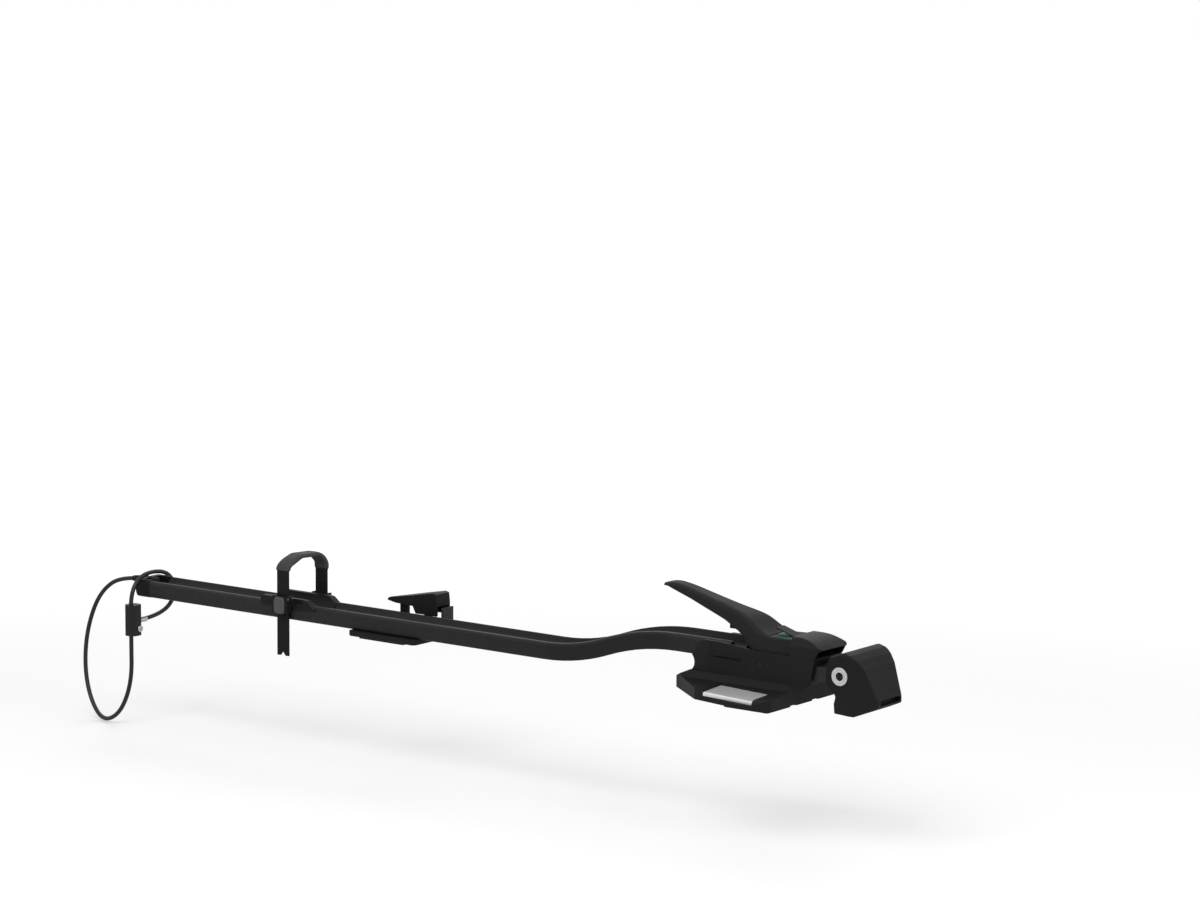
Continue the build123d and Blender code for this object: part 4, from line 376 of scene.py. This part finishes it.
def loft_piece(name, rings, material, body):
    """A smooth closed piece through rings of points, with its finish, on the body that carries it."""
    shape = bmesh.new()
    rows = [[shape.verts.new(point) for point in ring] for ring in rings]
    for row, after in zip(rows, rows[1:]):
        for here in range(len(row)):
            beside = (here + 1) % len(row)
            shape.faces.new((row[here], row[beside], after[beside], after[here]))
    shape.faces.new(rows[0])
    shape.faces.new(rows[-1])
    bmesh.ops.recalc_face_normals(shape, faces=shape.faces)
    for face in shape.faces:
        face.smooth = True
    mesh = bpy.data.meshes.new(name)
    shape.to_mesh(mesh)
    shape.free()
    mesh.materials.append(bpy.data.materials[material])
    piece = bpy.data.objects.new(name, mesh)
    bpy.context.scene.collection.objects.link(piece)
    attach(piece, body)
    return piece


# Sizes and colours that a user would change

class FinishSettings(bpy.types.PropertyGroup):
    """Colours of the carrier's finishes."""

    moulding: bpy.props.FloatVectorProperty(
        name="Moulding",
        description="Colour of the black mouldings",
        subtype="COLOR", default=(0.0075, 0.0075, 0.0078),
    )
    lever: bpy.props.FloatVectorProperty(
        name="Lever",
        description="Colour of the clamping lever",
        subtype="COLOR", default=(0.0135, 0.0135, 0.0138),
    )
    tray: bpy.props.FloatVectorProperty(
        name="Tray",
        description="Colour of the anodised tray",
        subtype="COLOR", default=(0.0105, 0.0105, 0.0108),
    )
    plate: bpy.props.FloatVectorProperty(
        name="Plate",
        description="Colour of the foot's metal plates",
        subtype="COLOR", default=(0.62, 0.62, 0.63),
    )
    indicator: bpy.props.FloatVectorProperty(
        name="Indicator",
        description="Colour of the torque indicator",
        subtype="COLOR", default=(0.005, 0.3, 0.085),
    )
    tab: bpy.props.FloatVectorProperty(
        name="Tab", description="Colour of the buckle's tab", subtype="COLOR", default=(0.07, 0.07, 0.073)
    )


class StudioSettings(bpy.types.PropertyGroup):
    """The studio round the carrier, and the camera."""

    floor_drop: bpy.props.FloatProperty(
        name="Floor drop",
        description="Room between the carrier's lowest point and the floor",
        unit="LENGTH", default=0.002,
    )
    floor_colour: bpy.props.FloatVectorProperty(
        name="Floor", description="Colour of the floor", subtype="COLOR", default=(0.86, 0.86, 0.86)
    )
    near_lift: bpy.props.FloatProperty(
        name="Near lift",
        description="Glow of the floor under the carrier, which the camera alone sees",
        default=0.2,
    )
    far_lift: bpy.props.FloatProperty(
        name="Far lift", description="Glow that takes the floor far from the lamps to white", default=0.62
    )
    lift_start: bpy.props.FloatProperty(
        name="Lift start",
        description="Distance at which the floor's glow starts to grow",
        unit="LENGTH", default=1.0,
    )
    lift_end: bpy.props.FloatProperty(
        name="Lift end",
        description="Distance at which the floor's glow is whole",
        unit="LENGTH", default=3.5,
    )
    ambient: bpy.props.FloatProperty(
        name="Ambient", description="How much the white room lights the carrier", default=0.5
    )
    camera_place: bpy.props.FloatVectorProperty(
        name="Camera place",
        description="Where the camera stands",
        subtype="TRANSLATION", default=(2.9205, -4.3507, 1.1106),
    )
    camera_azimuth: bpy.props.FloatProperty(
        name="Azimuth", description="Camera's turn about Z", subtype="ANGLE", default=math.radians(36.75)
    )
    camera_elevation: bpy.props.FloatProperty(
        name="Elevation",
        description="How far the camera looks down",
        subtype="ANGLE", default=math.radians(8.19),
    )
    camera_roll: bpy.props.FloatProperty(
        name="Roll", description="Camera's roll", subtype="ANGLE", default=math.radians(0.44)
    )
    lens: bpy.props.FloatProperty(
        name="Lens", description="Focal length in millimetres", subtype="DISTANCE_CAMERA", default=112.29
    )


class CableSettings(bpy.types.PropertyGroup):
    """The lock's cable."""

    diameter: bpy.props.FloatProperty(
        name="Diameter", description="Outside diameter of the jacket", unit="LENGTH", default=0.007
    )
    length: bpy.props.FloatProperty(
        name="Length", description="Length from the cap to the ferrule", unit="LENGTH", default=0.8325
    )


class ReliefSettings(bpy.types.PropertyGroup):
    """The ribbed sleeve where the cable leaves the tray's cap."""

    length: bpy.props.FloatProperty(
        name="Length", description="Length of the sleeve along the cable", unit="LENGTH", default=0.028
    )
    base_radius: bpy.props.FloatProperty(
        name="Base radius", description="Radius of the sleeve at the grommet", unit="LENGTH", default=0.0054
    )
    tip_radius: bpy.props.FloatProperty(
        name="Tip radius", description="Radius of the sleeve at its thin end", unit="LENGTH", default=0.0041
    )
    rib_height: bpy.props.FloatProperty(
        name="Rib height",
        description="How far a rib stands out of the sleeve",
        unit="LENGTH", default=0.0006,
    )
    ribs: bpy.props.IntProperty(name="Ribs", description="How many ribs the sleeve has", default=6)


class PadSettings(bpy.types.PropertyGroup):
    """The soft sleeve on the strap where it lies on the wheel's rim."""

    near_end: bpy.props.FloatProperty(
        name="Near end",
        description="Height of the sleeve's end on the buckle's side",
        unit="LENGTH", default=0.09,
    )
    bend: bpy.props.FloatProperty(
        name="Bend",
        description="Height at which the strap turns in over the wheel",
        unit="LENGTH", default=0.095,
    )
    near_slope: bpy.props.FloatProperty(
        name="Near slope",
        description="Width of the slanted run on the buckle's side",
        unit="LENGTH", default=0.026,
    )
    far_slope: bpy.props.FloatProperty(
        name="Far slope",
        description="Width of the slanted run on the far side",
        unit="LENGTH", default=0.013,
    )
    bend_radius: bpy.props.FloatProperty(
        name="Bend radius", description="Radius of the strap's bends", unit="LENGTH", default=0.012
    )
    width: bpy.props.FloatProperty(
        name="Width", description="Width of the sleeve", unit="LENGTH", default=0.027
    )
    thickness: bpy.props.FloatProperty(
        name="Thickness", description="Thickness of the sleeve", unit="LENGTH", default=0.0076
    )
    crown: bpy.props.FloatProperty(
        name="Crown", description="How far the slanted runs swell outwards", unit="LENGTH", default=0.0016
    )
    end_round: bpy.props.FloatProperty(
        name="End round", description="Length over which an end rounds off", unit="LENGTH", default=0.004
    )


class TabSettings(bpy.types.PropertyGroup):
    """The crowned face that the thumb presses on the buckle's tab."""

    half_width: bpy.props.FloatProperty(
        name="Half width", description="Half of the face's width", unit="LENGTH", default=0.0108
    )
    hinge_z: bpy.props.FloatProperty(
        name="Hinge height",
        description="Height of the tab's hinge, where its slope starts",
        unit="LENGTH", default=0.045,
    )
    overhang: bpy.props.FloatProperty(
        name="Overhang",
        description="How far the face reaches up past the hinge",
        unit="LENGTH", default=0.003,
    )
    boss_radius: bpy.props.FloatProperty(
        name="Boss radius", description="Radius of the tab's hinge boss", unit="LENGTH", default=0.0034
    )
    crown: bpy.props.FloatProperty(
        name="Crown",
        description="How far the face stands proud at its middle",
        unit="LENGTH", default=0.0022,
    )
    seat: bpy.props.FloatProperty(
        name="Seat", description="How deep the face is let into the tab", unit="LENGTH", default=0.0004
    )


class NoseSettings(bpy.types.PropertyGroup):
    """The blunt nose at the clamping lever's tip."""

    proud: bpy.props.FloatProperty(
        name="Proud",
        description="How far the nose reaches past the lever's tip",
        unit="LENGTH", default=0.001,
    )
    round_length: bpy.props.FloatProperty(
        name="Round length",
        description="Length over which the nose rounds off",
        unit="LENGTH", default=0.005,
    )
    length: bpy.props.FloatProperty(
        name="Length",
        description="Length of the nose, most of it inside the lever",
        unit="LENGTH", default=0.02,
    )
    half_width: bpy.props.FloatProperty(
        name="Half width", description="Half of the nose's width", unit="LENGTH", default=0.0092
    )
    half_height: bpy.props.FloatProperty(
        name="Half height", description="Half of the nose's thickness", unit="LENGTH", default=0.0028
    )
    tip_z: bpy.props.FloatProperty(
        name="Tip height",
        description="Height of the middle of the lever's tip",
        unit="LENGTH", default=0.1452,
    )


# The studio: places in metres, power in watts, and the camera's sensor in millimetres

FLOOR_REACH = 30.0
CLIP_END = 100.0
SENSOR_WIDTH = 36.0

# Each lamp's name, its place from the carrier's middle, its width and its power
LAMPS = (
    ("key lamp", (0.6, -2.2, 2.6), 2.2, 50.0),
    ("fill lamp", (3.2, -0.4, 1.6), 1.8, 24.0),
    ("rim lamp", (-1.6, 2.4, 2.4), 2.2, 28.0),
)


def lay_floor(scene, studio, middle):
    """A pale floor under the carrier, whose glow takes it to white away from the shadow."""
    floor_z = carrier_low.z - studio.floor_drop
    mesh = bpy.data.meshes.new("floor")
    sides = ((-1, -1), (1, -1), (1, 1), (-1, 1))
    corners = [(FLOOR_REACH * x, FLOOR_REACH * y, floor_z) for x, y in sides]
    mesh.from_pydata(corners, [], [(0, 1, 2, 3)])
    floor = bpy.data.objects.new("studio_floor", mesh)
    scene.collection.objects.link(floor)
    material, shader = blank_material("studio floor")
    shader.inputs["Base Color"].default_value = (*studio.floor_colour, 1.0)
    shader.inputs["Roughness"].default_value = 0.9
    shader.inputs["Specular IOR Level"].default_value = 0.0
    shader.inputs["Emission Color"].default_value = WHITE
    tree = material.node_tree
    place = add_node(tree, "ShaderNodeTexCoord", (-1150, -450))
    away = add_node(tree, "ShaderNodeVectorMath", (-900, -450), operation="DISTANCE")
    away.inputs[1].default_value = (middle.x, middle.y, floor_z)
    glow = add_node(tree, "ShaderNodeMapRange", (-650, -450), interpolation_type="SMOOTHSTEP")
    glow.inputs["From Min"].default_value = studio.lift_start
    glow.inputs["From Max"].default_value = studio.lift_end
    glow.inputs["To Min"].default_value = studio.near_lift
    glow.inputs["To Max"].default_value = studio.far_lift
    ray = add_node(tree, "ShaderNodeLightPath", (-500, -200))
    lift = add_node(tree, "ShaderNodeMath", (-250, -300), operation="MULTIPLY")
    join(tree, place, "Object", away, 0)
    join(tree, away, "Value", glow, "Value")
    join(tree, ray, "Is Camera Ray", lift, 0)
    join(tree, glow, "Result", lift, 1)
    join(tree, lift, 0, shader, "Emission Strength")
    mesh.materials.append(material)


def light_world(scene, studio):
    """A room that the camera and mirrors see white, and that lights the carrier less."""
    world = bpy.data.worlds.new("studio")
    world.use_nodes = True
    tree = world.node_tree
    backdrop = tree.nodes["Background"]
    backdrop.inputs["Color"].default_value = WHITE
    ray = add_node(tree, "ShaderNodeLightPath", (-900, 0))
    mirrored = add_node(tree, "ShaderNodeMath", (-650, 0), operation="MAXIMUM")
    seen = add_node(tree, "ShaderNodeMath", (-450, 0), operation="MAXIMUM")
    strength = add_node(tree, "ShaderNodeMapRange", (-250, 0))
    strength.inputs["To Min"].default_value = studio.ambient
    strength.inputs["To Max"].default_value = 1.0
    join(tree, ray, "Is Glossy Ray", mirrored, 0)
    join(tree, ray, "Is Transmission Ray", mirrored, 1)
    join(tree, mirrored, 0, seen, 0)
    join(tree, ray, "Is Camera Ray", seen, 1)
    join(tree, seen, 0, strength, "Value")
    join(tree, strength, "Result", backdrop, "Strength")
    scene.world = world


def hang_lamps(scene, middle):
    """Three large soft lamps that look at the carrier's middle."""
    for name, offset, width, power in LAMPS:
        light = bpy.data.lights.new(name, "AREA")
        light.size = width
        light.energy = power
        lamp = bpy.data.objects.new(name, light)
        lamp.location = middle + Vector(offset)
        lamp.rotation_euler = (-Vector(offset)).to_track_quat("-Z", "Y").to_euler()
        scene.collection.objects.link(lamp)


def place_camera(scene, studio):
    """The camera that was fitted to the photograph."""
    camera = bpy.data.cameras.new("camera")
    camera.sensor_width = SENSOR_WIDTH
    camera.lens = studio.lens
    camera.clip_end = CLIP_END
    view = bpy.data.objects.new("camera", camera)
    turn = Matrix.Rotation(studio.camera_azimuth, 4, "Z")
    tilt = Matrix.Rotation(math.pi / 2 - studio.camera_elevation, 4, "X")
    roll = Matrix.Rotation(studio.camera_roll, 4, "Z")
    view.matrix_world = Matrix.Translation(studio.camera_place) @ turn @ tilt @ roll
    scene.collection.objects.link(view)
    scene.camera = view


# The operators, one for each piece or group of like pieces

class CARRIER_OT_finish_mouldings(bpy.types.Operator):
    """Gives the moulded pieces their grained plastic and rubber"""

    bl_idname = "carrier.finish_mouldings"
    bl_label = "Mouldings"

    def execute(self, context):
        """Makes the plastics and gives them to the CAD nodes."""
        finish = context.scene.carrier_finish
        moulding = grained_material(
            "black moulding", finish.moulding, roughness=0.55,
            grain_scale=1400.0, grain_depth=0.00006, mottle=0.25, edge=0.3, specular=0.12,
        )
        coat_nodes(
            moulding, "head_rear_shell", "head_front_shell", "head_top_cover", "foot_base", "fork_block",
            "tail_cap", "rear_clamp_base", "rear_catch", "rear_lever", "wheel_holder", "rear_slide_shoe",
            "indicator_hood", "buckle_tab",
        )
        lever = grained_material(
            "lever moulding", finish.lever, roughness=0.6,
            grain_scale=1400.0, grain_depth=0.00005, mottle=0.25, edge=0.3, specular=0.1,
        )
        coat_nodes(lever, "clamp_lever")
        strap = grained_material(
            "strap plastic", STRAP_COLOUR, roughness=0.5,
            grain_scale=600.0, grain_depth=0.00004, mottle=0.2, edge=0.2, specular=0.12,
        )
        coat_nodes(strap, "wheel_strap")
        rubber = grained_material(
            "black rubber", RUBBER_COLOUR, roughness=0.68,
            grain_scale=500.0, grain_depth=0.00008, mottle=0.3, edge=0.2, specular=0.15,
        )
        coat_nodes(rubber, "foot_pads", "rear_clamp_pad", "cable_grommet")
        grained_material(
            "soft pad rubber", PAD_COLOUR, roughness=0.62,
            grain_scale=420.0, grain_depth=0.00012, mottle=0.35, edge=0.2, specular=0.15,
        )
        grained_material(
            "grey tab moulding", finish.tab, roughness=0.45,
            grain_scale=1200.0, grain_depth=0.00005, mottle=0.2, edge=0.3, specular=0.2,
        )
        shell = grained_material(
            "lock shell", LOCK_COLOUR, roughness=0.4,
            grain_scale=1000.0, grain_depth=0.00003, mottle=0.2, edge=0.3, specular=0.2,
        )
        coat_nodes(shell, "lock_body")
        green = grained_material(
            "green indicator", finish.indicator, roughness=0.5,
            grain_scale=900.0, grain_depth=0.00003, mottle=0.15, edge=0.1, specular=0.15,
        )
        coat_nodes(green, "lever_indicator")
        return {"FINISHED"}


class CARRIER_OT_finish_metals(bpy.types.Operator):
    """Gives the metal pieces their anodised, plated and coated finishes"""

    bl_idname = "carrier.finish_metals"
    bl_label = "Metals"

    def execute(self, context):
        """Makes the metals and gives them to the CAD nodes."""
        finish = context.scene.carrier_finish
        coat_nodes(
            metal_material(
                "anodised tray", finish.tray, roughness=0.5,
                line_scale=500.0, spread=0.1, metallic=0.1, specular=0.16,
            ),
            "wheel_tray",
        )
        coat_nodes(
            metal_material(
                "satin plate", finish.plate, roughness=0.42, line_scale=900.0, spread=0.15, metallic=0.6,
            ),
            "foot_plate_near", "foot_plate_far",
        )
        coat_nodes(
            metal_material("plated steel", PLATED_COLOUR, roughness=0.34, line_scale=1200.0, spread=0.12),
            "axle_sleeve", "axle_collars", "lever_cams", "lever_pin", "draw_bar", "front_t_bolt",
            "front_t_nut", "rear_lever_cams", "rear_lever_pin", "rear_draw_bar", "rear_t_bolt", "rear_t_nut",
            "cable_ferrule", "lock_core", "strap_anchor_pin", "tab_pin",
        )
        coat_nodes(
            metal_material(
                "coated steel", COATED_COLOUR, roughness=0.5,
                line_scale=700.0, spread=0.15, metallic=0.1, specular=0.2,
            ),
            "head_chassis", "housing_screws", "rear_bracket", "rear_shoe_screws", "cable_anchor",
        )
        return {"FINISHED"}


class CARRIER_OT_lay_cable(bpy.types.Operator):
    """Lays the lock's cable along its route"""

    bl_idname = "carrier.lay_cable"
    bl_label = "Lock cable"

    def execute(self, context):
        cable = context.scene.carrier_cable
        route = [
            (-1231.8, 0.0, 33.5),
            (-1296.0, 0.0, 33.5),
            (-1340.0, -8.0, 4.0),
            (-1361.0, -17.0, -54.0),
            (-1361.0, -26.0, -116.0),
            (-1342.0, -34.0, -170.0),
            (-1306.0, -41.0, -204.0),
            (-1262.0, -45.0, -184.0),
            (-1234.0, -47.0, -128.0),
            (-1228.5, -53.0, -57.0),
            (-1228.5, -53.0, 47.0),
            (-1228.5, 47.0, 47.0),
            (-1228.5, 47.0, -27.0),
            (-1228.5, -33.8, -27.0),
        ]
        curve = bpy.data.curves.new("lock cable", "CURVE")
        curve.dimensions = "3D"
        curve.bevel_depth = cable.diameter / 2
        curve.bevel_resolution = 5
        curve.use_fill_caps = True
        spline = curve.splines.new("NURBS")
        spline.points.add(len(route) - 1)
        for point, place in zip(spline.points, route):
            point.co = (*[MM * part for part in place], 1.0)
        spline.order_u = 3
        spline.use_endpoint_u = True
        spline.resolution_u = 16
        piece = bpy.data.objects.new("lock_cable_jacket", curve)
        context.scene.collection.objects.link(piece)
        jacket = grained_material(
            "cable jacket", JACKET_COLOUR, roughness=0.34,
            grain_scale=700.0, grain_depth=0.00003, mottle=0.2, edge=0.0, specular=0.35,
        )
        curve.materials.append(jacket)
        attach(piece, "carrier")
        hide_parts("lock_cable")
        return {"FINISHED"}


class CARRIER_OT_fit_relief(bpy.types.Operator):
    """Fits the ribbed sleeve round the cable where it leaves the cap"""

    bl_idname = "carrier.fit_relief"
    bl_label = "Strain relief"

    def execute(self, context):
        """Makes a tapered sleeve of rings along the cable's own line."""
        relief = context.scene.carrier_relief
        line = line_points(bpy.data.objects["lock_cable_jacket"].data)
        start = line[0].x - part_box("cable_grommet")[0][0]
        pitch = relief.length / relief.ribs
        sides = 28
        rib_shares = ((0.0, 0.0), (0.1, 1.0), (0.55, 1.0), (0.65, 0.0))
        stations = [
            ((rib + share) * pitch, height * relief.rib_height)
            for rib in range(relief.ribs)
            for share, height in rib_shares
        ]
        rings = []
        for distance, rib_height in [*stations, (relief.length, 0.0)]:
            centre, direction = place_along(line, start + distance)
            across = Vector((0.0, 1.0, 0.0))
            up = direction.cross(across).normalized()
            taper = distance / relief.length
            radius = relief.base_radius * (1 - taper) + relief.tip_radius * taper + rib_height
            rings.append([centre + across * y + up * z for y, z in oblong(radius, radius, 2.0, sides)])
        loft_piece("cable_strain_relief", rings, "black rubber", "carrier")
        return {"FINISHED"}


class CARRIER_OT_form_rim_pad(bpy.types.Operator):
    """Forms the soft sleeve on the wheel strap"""

    bl_idname = "carrier.form_rim_pad"
    bl_label = "Rim pad"

    def execute(self, context):
        """Makes a crowned sleeve along the strap's arch, in the space of its CAD solid."""
        pad = context.scene.carrier_pad
        low, high = (Vector(corner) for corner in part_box("rim_pad"))
        half_width = pad.width / 2
        half_thickness = pad.thickness / 2
        near_y = low.y + half_thickness
        far_y = high.y - half_thickness
        top_z = high.z - half_thickness
        near_x = low.x + half_width
        far_x = high.x - half_width
        route = [
            Vector((0.0, near_y, pad.near_end)),
            Vector((0.0, near_y, pad.bend)),
            Vector((0.0, near_y + pad.near_slope, top_z)),
            Vector((0.0, far_y - pad.far_slope, top_z)),
            Vector((0.0, far_y, pad.bend)),
            Vector((0.0, far_y, low.z)),
        ]
        bend_steps = 10
        line = rounded_line(route, pad.bend_radius, bend_steps)
        whole = sum((end - start).length for start, end in zip(line, line[1:]))
        swells = [((start + end) / 2, (end - start).length / 2) for start, end in (route[1:3], route[3:5])]
        stations = 72
        sides = 36
        fullness = 3.6
        end_thin_share = 0.85
        end_narrow_share = 0.08
        rings = []
        for station in range(stations + 1):
            distance = whole * station / stations
            centre, direction = place_along(line, distance)
            outward = direction.cross(Vector((-1.0, 0.0, 0.0)))
            share = min(1.0, max(0.0, (centre.y - near_y) / (far_y - near_y)))
            centre.x = near_x + (far_x - near_x) * share
            inset = max(0.0, 1 - min(distance, whole - distance) / pad.end_round)
            rounding = math.sqrt(1 - (end_thin_share * inset) ** 2)
            swell = 0.0
            for middle, reach in swells:
                nearness = max(0.0, 1 - (Vector((0.0, centre.y, centre.z)) - middle).length / reach)
                swell += pad.crown * nearness * nearness * (3 - 2 * nearness)
            ring = []
            ring_width = half_width * (1 - end_narrow_share + end_narrow_share * rounding)
            for across, out in oblong(ring_width, half_thickness * rounding, fullness, sides):
                proud = swell * out / half_thickness if out > 0 else 0.0
                ring.append(centre + Vector((across, 0.0, 0.0)) + outward * (out + proud))
            rings.append(ring)
        piece = loft_piece("soft_rim_pad", rings, "soft pad rubber", "wheel_holder")
        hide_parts("rim_pad")
        return {"FINISHED"}


class CARRIER_OT_crown_tab(bpy.types.Operator):
    """Crowns the outer face of the buckle's tab"""

    bl_idname = "carrier.crown_tab"
    bl_label = "Tab face"

    def execute(self, context):
        """Makes a rounded face that lies on the tab's slope."""
        tab = context.scene.carrier_tab
        low, high = (Vector(corner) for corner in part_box("buckle_tab"))
        middle_x = (low.x + high.x) / 2
        pin_low, pin_high = (Vector(corner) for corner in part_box("tab_pin"))
        hinge = Vector((middle_x, (pin_low.y + pin_high.y) / 2 - tab.boss_radius, tab.hinge_z))
        bottom = Vector((middle_x, low.y, low.z))
        down = (bottom - hinge).normalized()
        top = hinge - down * tab.overhang
        outward = down.cross(Vector((1.0, 0.0, 0.0)))
        if outward.y > 0:
            outward.negate()
        centre = (top + bottom) / 2
        half_length = (bottom - top).length / 2 - tab.seat
        sides = 48
        fullness = 4.0
        crown_shares = (
            (1.0, -1.0), (1.0, 0.25), (0.985, 0.5), (0.95, 0.7), (0.85, 0.86), (0.6, 0.96), (0.25, 1.0),
        )
        rings = []
        for share, height in crown_shares:
            lift = tab.crown * height if height > 0 else -tab.seat
            rings.append([
                centre + Vector((across, 0.0, 0.0)) + down * along + outward * lift
                for across, along in oblong(tab.half_width * share, half_length * share, fullness, sides)
            ])
        loft_piece("tab_thumb_face", rings, "grey tab moulding", "buckle_tab")
        return {"FINISHED"}


class CARRIER_OT_round_nose(bpy.types.Operator):
    """Rounds off the clamping lever's tip"""

    bl_idname = "carrier.round_nose"
    bl_label = "Lever nose"

    def execute(self, context):
        """Makes a blunt nose that grows out of the lever's tip wall."""
        nose = context.scene.carrier_nose
        low, high = (Vector(corner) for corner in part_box("clamp_lever"))
        tip = Vector((low.x - nose.proud, (low.y + high.y) / 2, nose.tip_z))
        sides = 36
        fullness = 2.6
        tail_share = 0.8
        round_steps = 9
        stations = []
        for step in range(1, round_steps + 1):
            angle = math.pi / 2 * step / round_steps
            stations.append((nose.round_length * (1 - math.cos(angle)), math.sin(angle)))
        stations.append((nose.length / 2, 1.0))
        stations.append((nose.length, tail_share))
        rings = []
        for back, share in stations:
            ring = oblong(nose.half_width * share, nose.half_height * share, fullness, sides)
            rings.append([tip + Vector((back, y, z)) for y, z in ring])
        loft_piece("lever_nose", rings, "lever moulding", "front_lever")
        return {"FINISHED"}


class CARRIER_OT_set_stage(bpy.types.Operator):
    """Builds the floor, the lamps, the world and the camera"""

    bl_idname = "carrier.set_stage"
    bl_label = "Stage"

    def execute(self, context):
        """Makes the studio round the carrier."""
        scene = context.scene
        studio = scene.carrier_studio
        middle = (carrier_low + carrier_high) / 2
        scene.view_settings.view_transform = "Standard"
        lay_floor(scene, studio, middle)
        light_world(scene, studio)
        hang_lamps(scene, middle)
        place_camera(scene, studio)
        return {"FINISHED"}


class CARRIER_PT_panel(bpy.types.Panel):
    """Lists the carrier's settings and operators"""

    bl_idname = "CARRIER_PT_panel"
    bl_label = "Roof bike carrier"
    bl_space_type = "VIEW_3D"
    bl_region_type = "UI"
    bl_category = "Carrier"

    def draw(self, context):
        """Draws every setting, then a button for every operator."""
        for settings in SETTINGS:
            group = getattr(context.scene, settings)
            box = self.layout.box()
            for name in group.bl_rna.properties.keys():
                if name not in ("rna_type", "name"):
                    box.prop(group, name)
        for operator in OPERATORS:
            self.layout.operator(operator.bl_idname)


OPERATORS = (
    CARRIER_OT_finish_mouldings,
    CARRIER_OT_finish_metals,
    CARRIER_OT_lay_cable,
    CARRIER_OT_fit_relief,
    CARRIER_OT_form_rim_pad,
    CARRIER_OT_crown_tab,
    CARRIER_OT_round_nose,
    CARRIER_OT_set_stage,
)
SETTINGS = {
    "carrier_finish": FinishSettings,
    "carrier_studio": StudioSettings,
    "carrier_cable": CableSettings,
    "carrier_relief": ReliefSettings,
    "carrier_pad": PadSettings,
    "carrier_tab": TabSettings,
    "carrier_nose": NoseSettings,
}
CLASSES = (*SETTINGS.values(), *OPERATORS, CARRIER_PT_panel)


def register():
    """Registers the classes and hangs the settings on the scene."""
    for item in CLASSES:
        bpy.utils.register_class(item)
    for name, group in SETTINGS.items():
        setattr(bpy.types.Scene, name, bpy.props.PointerProperty(type=group))


def unregister():
    """Takes the settings off the scene and unregisters the classes."""
    for name in SETTINGS:
        delattr(bpy.types.Scene, name)
    for item in reversed(CLASSES):
        bpy.utils.unregister_class(item)


def main():
    """Dresses the carrier."""
    register()
    moulded_grain_group()
    painted_edge_highlight_group()
    drawn_lines_group()
    rounded_edges_group()
    bpy.ops.carrier.finish_mouldings()
    bpy.ops.carrier.finish_metals()
    bpy.ops.carrier.lay_cable()
    bpy.ops.carrier.fit_relief()
    bpy.ops.carrier.form_rim_pad()
    bpy.ops.carrier.crown_tab()
    bpy.ops.carrier.round_nose()
    bpy.ops.carrier.set_stage()


if __name__ == "__main__":
    main()
